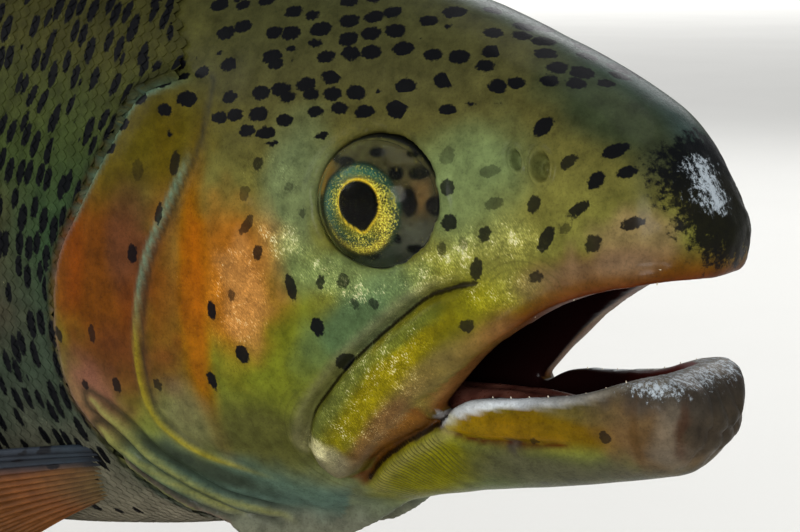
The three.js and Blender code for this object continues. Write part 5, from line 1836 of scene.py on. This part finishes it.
@dataclass
class MouthParts:
    """The tongue and the small teeth of both jaws."""

    tooth_radius: float = 0.42
    tooth_length: float = 1.9
    step: float = 2.6

    def teeth(self) -> None:
        """Rows of small cones just inside the lips."""
        shape = bmesh.new()
        rng = np.random.default_rng(5)
        rows = ((UPPER_LIP, BODY.half_width, 1.7, -1, 27), (LOWER_LIP, JAW.half_width, 1.75, 1, 30))
        for lip, half_width, inset, way, last in rows:
            for side in (-1, 1):
                for s in np.arange(4.5, last, self.step):
                    edge = float(np.interp(s, lip.points[:, 0], lip.points[:, 1]))
                    length = self.tooth_length * rng.uniform(0.85, 1.1)
                    made = bmesh.ops.create_cone(shape, cap_ends=True, segments=8, radius1=self.tooth_radius,
                                                 radius2=0.05, depth=length)
                    turn = Matrix.Rotation(0 if way > 0 else math.pi, 4, "X") @ Matrix.Rotation(0.25, 4, "Y")
                    middle = edge + way * (0.12 - length / 2 + rng.uniform(-0.15, 0.12))
                    out = side * (float(half_width(s)) - inset)
                    bmesh.ops.transform(shape, verts=made["verts"],
                                        matrix=Matrix.Translation((s, out, middle)) @ turn)
        mesh = finish_mesh(shape, "teeth")
        set_positions(mesh, ATTITUDE.place(positions(mesh)))
        self.finish(mesh, "teeth", PlainMottled("tooth_enamel", "#ece4d2", "#cdbf9f", 0.8, 0.3, (0.2, 0.35),
                                                gloss=0.4))

    def tongue(self) -> bpy.types.Object:
        """The pale fleshy tongue on the mouth's floor.

        Returns:
            the new object.
        """
        form = Form(top=Curve((0, -21.2), (6, -19.8), (20, -19.2), (38, -19.6)),
                    bottom=lambda s: np.full_like(s, -27.0),
                    half_width=Curve((0, 3.4), (8, 4.5), (38, 5)), widest_at=lambda s: np.full_like(s, -22.5),
                    nose=Nose(6, -22))
        sections = [form.section(s, 40) + (12, 0, 0) for s in (*(6 * (1 - np.cos(np.linspace(0, 1.5, 8)))),
                                                               *np.arange(7, 38, 2.5))]
        mesh = finish_mesh(loft(sections), "tongue")
        points = positions(mesh)
        points[:, 2] -= 0.5 * bump(points[:, 1], 0.9) * smooth(-22, -20, points[:, 2])
        points[:, 2] += 0.2 * lattice_noise(points, 2.5, 8)
        set_positions(mesh, ATTITUDE.place(points))
        return self.finish(mesh, "tongue",
                           PlainMottled("wet_tongue", "#8d5a4a", "#4a1f1a", 3, 0.6, (0.25, 0.4), gloss=0.6))

    @staticmethod
    def finish(mesh: bpy.types.Mesh, name: str, stuff: PlainMottled) -> bpy.types.Object:
        """Smooths, dresses and declares one piece."""
        mesh.shade_smooth()
        mesh.materials.append(stuff.make())
        piece = new_object(f"mouth_{name}", mesh)
        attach(piece, "root")
        log.info("%s: %d faces", piece.name, len(mesh.polygons))
        return piece

    def build(self) -> None:
        """Makes tongue and teeth."""
        self.teeth()
        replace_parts(self.tongue(), "tongue")


# ------------------------------------------------------------------------- fins
class FinKind(Enum):
    """The fins' colourings."""

    BACK = "back"
    TAIL = "tail"
    BELLY = "belly"
    BREAST = "breast"


@dataclass
class Fin:
    """One fin: a thin skin over rays that fork towards its edge."""

    name: str
    kind: FinKind
    rays: int
    root: Callable[[Array], Array]
    ray: Callable[[Array], Array]
    face: Array
    thick: float
    curl: float = 0.0
    edge: float = 0.7
    along: int = 44
    per_ray: int = 10

    def sheet(self) -> tuple[bpy.types.Mesh, Array]:
        """A closed flat sheet and its corners' places across and along the fin, with their side.

        Returns:
            the mesh, and one row of places for each corner.
        """
        shape = bmesh.new()
        bmesh.ops.create_grid(shape, x_segments=self.rays * self.per_ray, y_segments=self.along, size=0.5)
        region = list(shape.faces)
        pushed = bmesh.ops.extrude_face_region(shape, geom=region, use_keep_orig=True)
        verts = [item for item in pushed["geom"] if isinstance(item, bmesh.types.BMVert)]
        bmesh.ops.translate(shape, verts=verts, vec=(0, 0, 1))
        bmesh.ops.recalc_face_normals(shape, faces=shape.faces)
        mesh = finish_mesh(shape, self.name)
        spread = positions(mesh)
        return mesh, np.column_stack([spread[:, 0] + 0.5, spread[:, 1] + 0.5, 2 * spread[:, 2] - 1])

    def build(self, spots: bool) -> None:
        """Makes the fin."""
        mesh, place = self.sheet()
        u, v, face = place.T
        seed = len(self.name)
        fork = smooth(0.42, 0.62, v)
        swell = 0.5 + 0.5 * np.cos(2 * np.pi * self.rays * u)
        forked = 0.5 + 0.5 * np.cos(4 * np.pi * self.rays * u)
        ridge = blend(swell**1.5, forked**1.5, fork)
        joints = 0.5 + 0.5 * np.cos(2 * np.pi * v * 26 + 2 * np.sin(9 * u))
        wobble = lattice_noise(np.column_stack([u * 40, v * 3, u * 0]), 1.3, seed)
        notch = 0.028 * (1 - forked) * smooth(0.75, 1, v) + 0.012 * wobble * smooth(0.8, 1, v)
        v_edge = v * (1 - notch)
        ends = 1 - np.abs(2 * u - 1) ** 6
        thickness = blend(self.edge * 0.55, self.thick, (1 - v) ** 1.3 * ends)
        thickness = thickness * (0.62 + 0.38 * ridge) * (0.96 + 0.04 * joints)
        thickness *= smooth(1.015, 0.97, v) * 0.75 + 0.25
        lead = 0.35 * bump(u - 0.03, 0.03) * (1 - 0.6 * v)
        push = face * (thickness / 2 + lead) + self.curl * v**2
        push = push + 0.5 * np.sin(5.5 * v + 4 * u
                                   + seed) * v * (1.2 - v) * (0.6 if self.kind is FinKind.TAIL else 1)
        points = self.root(u) + self.ray(u) * v_edge[:, None] + push[:, None] * self.face
        set_positions(mesh, ATTITUDE.place(points))
        outside = bmesh.new()
        outside.from_mesh(mesh)
        bmesh.ops.recalc_face_normals(outside, faces=outside.faces)
        outside.to_mesh(mesh)
        outside.free()
        mesh.shade_smooth()
        store(mesh, "tint", self.paint(u, v, ridge, points))
        store(mesh, "spot", self.spot_rims(u, v) if spots else np.full(len(u), 2.0))
        mesh.materials.append(FinSkin(f"trout_fin_skin_{self.kind.value}").make())
        fin = new_object(f"{self.name}_rayed", mesh)
        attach(fin, "root")
        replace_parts(fin, self.name)
        log.info("%s: %d faces", fin.name, len(mesh.polygons))

    def paint(self, u: Array, v: Array, ridge: Array, points: Array) -> Array:
        """The fin's colour: by its kind, from root to edge, paler on the rays."""
        noise = 0.06 * lattice_noise(points, 5, 61)
        if self.kind is FinKind.BACK:
            colour = ladder(((0, "#525a2c"), (0.4, "#666236"), (0.8, "#71673f"), (1, "#8a7a58")), v + noise)
            colour = blend(colour, linear("#d8d2c0"), 0.8 * smooth(0.9, 0.98, v) * smooth(0.35, 0.1, u))
        elif self.kind is FinKind.TAIL:
            colour = ladder(((0, "#5c6236"), (0.35, "#6b6640"), (0.8, "#6f5f46"), (1, "#4b4036")), v + noise)
            colour = blend(colour, linear("#8d5f4c"),
                           0.4 * smooth(0.3, 0.1, np.abs(u - 0.5)) * smooth(0.1, 0.4, v))
        elif self.kind is FinKind.BELLY:
            colour = ladder(((0, "#a39a76"), (0.35, "#b0764a"), (0.8, "#a8623c"), (1, "#8f5a40")), v + noise)
            colour = blend(colour, linear("#e6ded0"), 0.9 * smooth(0.1, 0.04, u))
        else:
            colour = ladder(((0, "#4c4226"), (0.3, "#6a3f1e"), (0.75, "#5f3b1c"), (1, "#4a3420")), v + noise)
            colour = blend(colour, linear("#1a2832"), 0.94 * smooth(0.33, 0.2, u + noise))
            colour = blend(colour, linear("#11151c"), 0.8 * smooth(0.12, 0.04, v) * smooth(0.4, 0.2, u))
        return blend(colour * 0.78, colour * 1.22, ridge)

    def spot_rims(self, u: Array, v: Array) -> Array:
        """Distance to the rim of the nearest spot, in mm; the spots lie in rows between the rays."""
        rng = np.random.default_rng(len(self.name) * 7)
        middle = self.ray(np.array([0.5]))[0]
        length = float(np.linalg.norm(middle))
        width = float(np.linalg.norm((self.root(np.array([1.0])) + self.ray(np.array([1.0])) * 0.6
                                      - self.root(np.array([0.0])) - self.ray(np.array([0.0])) * 0.6)[0]))
        rims = np.full(len(u), 2.0)
        limit = 0.22 if self.kind is FinKind.BREAST else 0.98
        rows = 6 if self.kind is FinKind.BREAST else 8
        columns = 3 if self.kind is FinKind.BREAST else self.rays + 3
        for row in range(rows):
            for column in range(columns):
                at_u = limit * (column + 0.5 + rng.uniform(-0.3, 0.3)) / columns
                at_v = 0.1 + 0.84 * (row + 0.5 + rng.uniform(-0.3, 0.3)) / rows
                if rng.uniform() > 0.8:
                    continue
                size = rng.uniform(0.75, 1.25) * (1.0 if self.kind is not FinKind.BREAST else 0.8)
                gap = np.hypot((u - at_u) * width / 0.72, (v - at_v) * length / 1.25) - size
                rims = np.minimum(rims, gap)
        return rims


def back_line(first: float, last: float, edge: Callable[[Array], Array], sink: float) -> Callable[[Array],
                                                                                                  Array]:
    """Places along the back or the belly, sunk into the body by a height."""
    def root(u: Array) -> Array:
        """Places for shares u of the way from first to last."""
        s = first + (last - first) * np.asarray(u, float)
        return np.column_stack([s, np.zeros_like(s), edge(s) + sink])
    return root


def fan(first: float, last: float, length: Callable[[Array], Array], inner: float) -> Callable[[Array],
                                                                                               Array]:
    """Rays in the fish's middle plane, from one angle above straight back to another."""
    def ray(u: Array) -> Array:
        """Ray vectors for shares u."""
        angle = np.radians(first + (last - first) * np.asarray(u, float))
        reach = inner + length(u)
        return np.column_stack([np.cos(angle) * reach, np.zeros_like(reach), np.sin(angle) * reach])
    return ray


@dataclass(frozen=True)
class PairedFin:
    """A breast or belly fin by its root's ends and its first and last rays, as (back, out, up)."""

    name: str
    kind: FinKind
    rays: int
    front: tuple[float, float, float]
    rear: tuple[float, float, float]
    lead: tuple[float, float, float]
    last: tuple[float, float, float]
    length: Curve
    thick: float
    curl: float

    def fin(self, side: int, side_name: str) -> Fin:
        """The fin on one side.

        Args:
            side: 1 for the fish's left, -1 for its right.
            side_name: the side's word in the fin's name.

        Returns:
            the fin.
        """
        flip = np.array([1, side, 1])
        front, rear = np.array(self.front) * flip, np.array(self.rear) * flip
        lead, last = (np.array(v) * flip / np.linalg.norm(v) for v in (self.lead, self.last))
        face = np.cross(lead, rear - front) * -1
        face = face / np.linalg.norm(face)

        def ray(u: Array) -> Array:
            """Ray vectors for shares u."""
            u = np.asarray(u, float)[:, None]
            way = lead * (1 - u) + last * u
            return way / np.linalg.norm(way, axis=1)[:, None] * self.length(u[:, 0])[:, None]

        def root(u: Array) -> Array:
            """Root places for shares u."""
            u = np.asarray(u, float)[:, None]
            return front * (1 - u) + rear * u

        return Fin(f"{self.name}_{side_name}", self.kind, self.rays, root, ray, face, self.thick,
                   self.curl * side)


def build_fins() -> None:
    """Makes all the fins."""
    sideways = np.array([0.0, 1.0, 0.0])
    tail_root = Curve((0, 19), (1, -11))
    fins = (
        (Fin("dorsal_fin", FinKind.BACK, 12, back_line(187, 240, BODY.top, -4),
             fan(62, 30, Curve((0, 18), (.1, 35), (.2, 41), (.6, 33), (1, 21)), 4), sideways, 3.4), True),
        (Fin("adipose_fin", FinKind.BACK, 5, back_line(322, 336, BODY.top, -4),
             fan(34, 22, lambda u: 19 - 12 * np.asarray(u) ** 1.5, 4), sideways, 2.6, per_ray=6), True),
        (Fin("anal_fin", FinKind.BELLY, 11, back_line(288, 326, BODY.bottom, 4),
             fan(-62, -28, Curve((0, 18), (.12, 33), (.24, 36), (.6, 27), (1, 16)), 4), sideways, 3.0),
             False),
        (Fin("caudal_fin", FinKind.TAIL, 19,
             lambda u: np.column_stack([np.full(len(u), 388.0), np.zeros(len(u)), tail_root(u)]),
             fan(31, -31, Curve((0, 60), (.1, 62), (.3, 54), (.5, 50), (.7, 54), (.9, 62), (1, 60)), 12),
             sideways, 4.0, per_ray=8), True),
    )
    for fin, spots in fins:
        fin.build(spots)
    pairs = (
        PairedFin("pectoral_fin", FinKind.BREAST, 13, (94, 19, -30.2), (101, 13, -40), (1, .36, -.06),
                  (1, .1, -.42),
                  Curve((0, 52), (.12, 58), (.4, 54), (.75, 42), (1, 30)), 3.0, -3),
        PairedFin("pelvic_fin", FinKind.BELLY, 10, (206, 11, -44), (215, 4.5, -46), (1, .42, -.4),
                  (1, .12, -.5),
                  Curve((0, 34), (.15, 40), (.5, 37), (1, 24)), 2.6, -1.5),
    )
    for pair in pairs:
        for side, side_name in ((-1, "right"), (1, "left")):
            pair.fin(side, side_name).build(pair.kind is FinKind.BREAST)


# ------------------------------------------------------------------------- scales
@dataclass
class ScaleCoat:
    """The scales: small lapped plates in slanting rows, rooted in the skin, with free rear edges."""

    markings: Markings
    rows: int = 68
    first: float = 66.0
    last: float = 392.0
    splits: tuple[float, ...] = (160.0, 235.0, 305.0)
    thickness: float = 0.06
    root_depth: float = -0.17
    edge_height: float = 0.04

    @staticmethod
    def template() -> tuple[Array, Array]:
        """One scale: corners as (along, across, up) and triangles.

        Returns:
            the corners and the triangles.
        """
        shape = bmesh.new()
        bmesh.ops.create_uvsphere(shape, u_segments=8, v_segments=3, radius=1)
        bmesh.ops.triangulate(shape, faces=shape.faces)
        bmesh.ops.recalc_face_normals(shape, faces=shape.faces)
        mesh = finish_mesh(shape, "scale")
        corners = positions(mesh)
        corners[:, :2] /= math.sqrt(3) / 2
        corners[:, 2] = np.sign(corners[:, 2]) * np.where(np.abs(corners[:, 2]) > 0.9, 1.0, 0.45)
        triangles = np.array([list(face.vertices) for face in mesh.polygons])
        bpy.data.meshes.remove(mesh)
        return corners, triangles

    def roots(self, side: int) -> Array:
        """Rows of distance, share, length and width for each scale on one side.

        Args:
            side: 1 for the fish's left, -1 for its right.

        Returns:
            one row for each scale.
        """
        rng = np.random.default_rng(31 + side)
        found = []
        s, column = self.first, 0
        while s < self.last:
            girth = float(np.interp(s, SURFACE.s, SURFACE.half_girth))
            width = girth / self.rows
            pitch = float(np.clip(width * 1.02, 1.15, 1.9))
            share = (np.arange(self.rows) + 0.5 * (column % 2) + 0.25) / self.rows
            share = share + rng.uniform(-0.05, 0.05, self.rows) / self.rows
            at = s + rng.uniform(-0.08, 0.08, self.rows) * pitch
            found.append(np.column_stack([at, share, np.full(self.rows, pitch * 2.1),
                                          np.full(self.rows, width * 1.5)]))
            s += pitch
            column += 1
        rows = np.vstack(found)
        rows = rows[rows[:, 1] < 0.998]
        z = SURFACE.at(rows[:, 0], rows[:, 1], side)[:, 2]
        behind = -COAT_EDGE.measure(rows[:, 0], z)[0]
        return rows[behind > np.where(z > 23, -1.1, -2.8)]

    def piece(self, name: str, rows: Array, side: int) -> None:
        """Makes one piece of the coat from its scales' rows.

        Args:
            name: the piece's name.
            rows: the rows of its scales.
            side: 1 for the fish's left, -1 for its right.
        """
        corners, triangles = self.template()
        rng = np.random.default_rng(len(name))
        count, each = len(rows), len(corners)
        s0, share0, length, width = (np.repeat(rows[:, k], each) for k in range(4))
        along, across, up = (np.tile(corners[:, k], count) for k in range(3))
        taper = 1 - 0.28 * smooth(0.1, -1, along)
        point = 1 + 0.10 * (1 - across**2)
        s = s0 + (0.5 + 0.5 * along * point) * length
        half_girth_root = np.interp(s0, SURFACE.s, SURFACE.half_girth)
        unfolded = share0 + across * taper * 0.5 * width / half_girth_root
        share = np.where(unfolded < 0, -unfolded, np.where(unfolded > 1, 2 - unfolded, unfolded))
        crossed = (unfolded < 0) | (unfolded > 1)
        way = np.where(crossed, -side, side)
        tip = smooth(-1, 0.95, along)
        tilt = np.repeat(rng.uniform(-0.015, 0.02, count), each)
        lift = blend(self.root_depth, self.edge_height, tip) + tilt * tip + up * self.thickness / 2
        lift = lift + 0.03 * (1 - across**2) * tip
        points = SURFACE.at(np.clip(s, 1, 398.9), share, way)
        _, _, outward = SURFACE.frame(np.clip(s, 2, 397), share, way)
        covered = RELIEF.covered(points[:, 0], points[:, 2])
        bare = RELIEF.lift(points, outward) + RELIEF.under_scales * covered
        lift = lift - 0.3 * (1 - covered)
        points = points + outward * (lift + np.clip(bare, -1.3, 0.6))[:, None]
        mesh = bpy.data.meshes.new(name)
        faces = (triangles[None] + (np.arange(count) * each)[:, None, None]).reshape(-1, 3)
        mesh.vertices.add(len(points))
        mesh.loops.add(len(faces) * 3)
        mesh.polygons.add(len(faces))
        if side > 0:
            faces = faces[:, ::-1]
        mesh.loops.foreach_set("vertex_index", faces.ravel().astype(np.int32))
        mesh.polygons.foreach_set("loop_start", np.arange(0, len(faces) * 3, 3, dtype=np.int32))
        mesh.update(calc_edges=True)
        set_positions(mesh, ATTITUDE.place(points))
        mesh.shade_smooth()
        mesh.set_sharp_from_angle(angle=math.radians(35))
        tint = self.markings.tint(points)
        # Each scale's free rear edge is lightened as a painted highlight and its covered root darkened as
        # painted shade; the random factor gives each scale its own tone
        shade = np.repeat(rng.uniform(0.93, 1.08, count), each)
        rim = smooth(0.2, 1.0, along) * (up > -0.6)
        tint = tint * shade[:, None] * blend(0.62, 1.15, rim)[:, None]
        store(mesh, "tint", tint)
        store(mesh, "flank_cells", self.markings.flank_cells(points))
        store(mesh, "gleam", np.repeat(0.5 * rng.uniform(0, 1, count) ** 6, each))
        spread = mesh.uv_layers.new(name="OFBake")
        first, last = rows[:, 0].min(), rows[:, 0].max()
        patch = 0.0015
        u = 0.01 + 0.98 * (s0 - first) / (last - first + 1e-6) + patch * along
        v = 0.01 + 0.98 * share0 + patch * across
        uv = np.column_stack([u, v])[faces.ravel()]
        spread.data.foreach_set("uv", uv.ravel().astype(np.float32))
        mesh.materials.append(WetSkin(name="slimed_trout_scales", scaled=True, roughness=0.5).make())
        coat = new_object(name, mesh)
        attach(coat, "root")
        log.info("%s: %d scales, %d triangles", name, count, len(faces))

    def build(self) -> None:
        """Makes the coat, four pieces to a side."""
        for side, side_name in ((-1, "right"), (1, "left")):
            rows = self.roots(side)
            part = np.searchsorted(self.splits, rows[:, 0])
            for k, place in enumerate(("front", "middle", "rear", "tail")):
                self.piece(f"scales_{side_name}_{place}", rows[part == k], side)


# ------------------------------------------------------------------------- stand
@dataclass
class Stand:
    """A plain oak base with two steel rods that reach up into the belly."""

    length: float = 300.0
    width: float = 124.0
    height: float = 16.0
    corner: float = 20.0
    bevel: float = 2.0
    rod_radius: float = 4.0
    foot_radius: float = 9.0
    gap: float = 0.1
    rod_places: tuple[tuple[str, float], ...] = (("stand_rod_front", 168.0), ("stand_rod_rear", 262.0))

    def base(self) -> None:
        """The base board with round corners and softened edges."""
        shape = bmesh.new()
        bmesh.ops.create_cube(shape, size=1)
        bmesh.ops.scale(shape, verts=shape.verts, vec=(self.length, self.width, self.height))
        bmesh.ops.translate(shape, verts=shape.verts, vec=(0, 0, self.height / 2))
        upright = [edge for edge in shape.edges if abs(edge.verts[0].co.z - edge.verts[1].co.z) > 1]
        bmesh.ops.bevel(shape, geom=upright, offset=self.corner, segments=14, profile=0.5, affect="EDGES",
                        material=-1)
        rims = [edge for edge in shape.edges
                if all(abs(vert.co.z - self.height) < 1e-3 for vert in edge.verts)
                and len(edge.link_faces) == 2 and edge.calc_face_angle() > 0.5]
        bmesh.ops.bevel(shape, geom=rims, offset=self.bevel, segments=5, profile=0.5, affect="EDGES",
                        material=-1)
        feet = [edge for edge in shape.edges if all(abs(vert.co.z) < 1e-3 for vert in edge.verts)
                and len(edge.link_faces) == 2 and edge.calc_face_angle() > 0.5]
        bmesh.ops.bevel(shape, geom=feet, offset=0.8, segments=2, profile=0.5, affect="EDGES", material=-1)
        bmesh.ops.scale(shape, verts=shape.verts, vec=(MM, MM, MM))
        self.finish(shape, "stand_base", "stand_wood", StainedOak().make())

    def rods(self) -> None:
        """Two turned rods, each on a small round foot."""
        steel = PlainMottled("brushed_steel", "#c9cbcc", "#8f9294", 9, 0.35, (0.24, 0.4), metallic=1.0,
                             stretch=(1, 1, 0.15)).make()
        for name, s in self.rod_places:
            spot = ATTITUDE.place(np.array([[s, 0, float(BODY.bottom(s))]]))[0] / MM
            foot, top = self.height + self.gap, spot[2] + 3.0
            profile = ((0, foot), (self.foot_radius - 0.5, foot), (self.foot_radius, foot + 0.5),
                       (self.foot_radius, foot + 2.4), (self.foot_radius - 0.6, foot + 3),
                       (self.rod_radius + 1.6, foot + 3.3), (self.rod_radius + 0.6, foot + 4),
                       (self.rod_radius, foot + 6), (self.rod_radius, top), (0, top))
            shape = bmesh.new()
            verts = [shape.verts.new((radius, 0, height)) for radius, height in profile]
            edges = [shape.edges.new(pair) for pair in zip(verts, verts[1:])]
            bmesh.ops.spin(shape, geom=verts + edges, cent=(0, 0, 0), axis=(0, 0, 1), dvec=(0, 0, 0),
                           angle=2 * math.pi, steps=48, use_merge=True)
            bmesh.ops.remove_doubles(shape, verts=shape.verts, dist=1e-4)
            bmesh.ops.recalc_face_normals(shape, faces=shape.faces)
            bmesh.ops.translate(shape, verts=shape.verts, vec=(spot[0], spot[1], 0))
            bmesh.ops.scale(shape, verts=shape.verts, vec=(MM, MM, MM))
            self.finish(shape, name, "stand_steel", steel)

    @staticmethod
    def finish(shape: bmesh.types.BMesh, name: str, slot: str, material: bpy.types.Material) -> None:
        """Dresses and declares one piece.

        Args:
            shape: the piece's form.
            name: the piece's name, and the node's that it replaces.
            slot: not used.
            material: what it is made of.
        """
        mesh = finish_mesh(shape, f"{name}_finished")
        mesh.materials.append(material)
        mesh.shade_smooth()
        mesh.set_sharp_from_angle(angle=math.radians(38))
        piece = new_object(f"{name}_finished", mesh)
        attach(piece, "root")
        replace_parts(piece, name)
        log.info("%s: %d faces", piece.name, len(mesh.polygons))

    def build(self) -> None:
        """Makes the stand."""
        self.base()
        self.rods()


# ------------------------------------------------------------------------- camera, light and floor
@dataclass(frozen=True)
class Camera:
    """A long lens from the front right, a little above the snout."""

    from_snout: tuple[float, float, float] = (94.8, -165.1, 31.92)
    looks: tuple[float, float, float] = (-0.6511, 0.7378, -0.1782)
    lens: float = 73.9

    def build(self) -> None:
        """Adds the camera and makes it the scene's."""
        camera = bpy.data.cameras.new("camera")
        camera.lens, camera.sensor_width, camera.clip_start = self.lens, 36, 0.01
        holder = bpy.data.objects.new("camera", camera)
        bpy.context.scene.collection.objects.link(holder)
        snout = Vector(ATTITUDE.place(np.zeros((1, 3)))[0])
        turn = Vector(self.looks).to_track_quat("-Z", "Y").to_matrix().to_4x4()
        holder.matrix_world = Matrix.Translation(snout + MM * Vector(self.from_snout)) @ turn
        bpy.context.scene.camera = holder


@dataclass(frozen=True)
class Lamp:
    """A large soft lamp: its place and aim in metres, its width and its power in watts."""

    name: str
    place: tuple[float, float, float]
    aim: tuple[float, float, float]
    width: float
    power: float

    def build(self) -> None:
        """Adds the lamp."""
        light = bpy.data.lights.new(self.name, "AREA")
        light.shape, light.size, light.energy = "DISK", self.width, self.power
        holder = bpy.data.objects.new(self.name, light)
        turn = (Vector(self.aim) - Vector(self.place)).to_track_quat("-Z", "Y").to_matrix().to_4x4()
        holder.matrix_world = Matrix.Translation(self.place) @ turn
        bpy.context.scene.collection.objects.link(holder)


@dataclass(frozen=True)
class Studio:
    """A plain pale floor under soft light."""

    floor_radius: float = 10.0
    ambient: float = 0.42

    def build(self) -> None:
        """Adds floor, lamps and the light all round."""
        shape = bmesh.new()
        bmesh.ops.create_circle(shape, cap_ends=True, segments=96, radius=self.floor_radius)
        floor = new_object("floor", finish_mesh(shape, "floor"))
        floor.data.materials.append(PlainMottled("matt_paper_floor", "#d8d7d3", "#d4d3cf", 400, 1.5,
                                                 (0.8, 0.95),
                                                 bump_mm=0.02).make())
        for lamp in (Lamp("key", (0.75, -0.95, 0.42), (0.15, 0, 0.11), 0.45, 8.0),
                     Lamp("fill", (-0.9, -1.0, 0.7), (-0.1, 0, 0.1), 0.8, 4.5),
                     Lamp("back", (-0.1, 1.0, 0.8), (0.0, 0, 0.12), 0.8, 5.0),
                     Lamp("overhead", (0.3, -0.1, 1.5), (0.3, 0, 0.0), 1.2, 8.0),
                     Lamp("far_wash", (-5.5, 6.4, 6.0), (-5.5, 6.4, 0.0), 8.0, 760.0)):
            lamp.build()
        world = bpy.data.worlds.new("studio")
        world.use_nodes = True
        shade = world.node_tree.nodes["Background"]
        shade.inputs["Color"].default_value = rgba("#e4e6e8")
        shade.inputs["Strength"].default_value = self.ambient
        bpy.context.scene.world = world
        bpy.context.scene.view_settings.view_transform = "Standard"


def main() -> None:
    """Builds the model and its surroundings."""
    logging.basicConfig(level=logging.INFO, format="%(name)s: %(message)s")
    Camera().build()
    Studio().build()
    markings = Markings()
    log.info("spots: %d", len(markings.spots.centre))
    Skin(markings).build()
    for side, name in ((-1, "eye_right"), (1, "eye_left")):
        Eye(side, name).build()
    MouthParts().build()
    build_fins()
    ScaleCoat(markings).build()
    Stand().build()


if __name__ == "__main__":
    main()
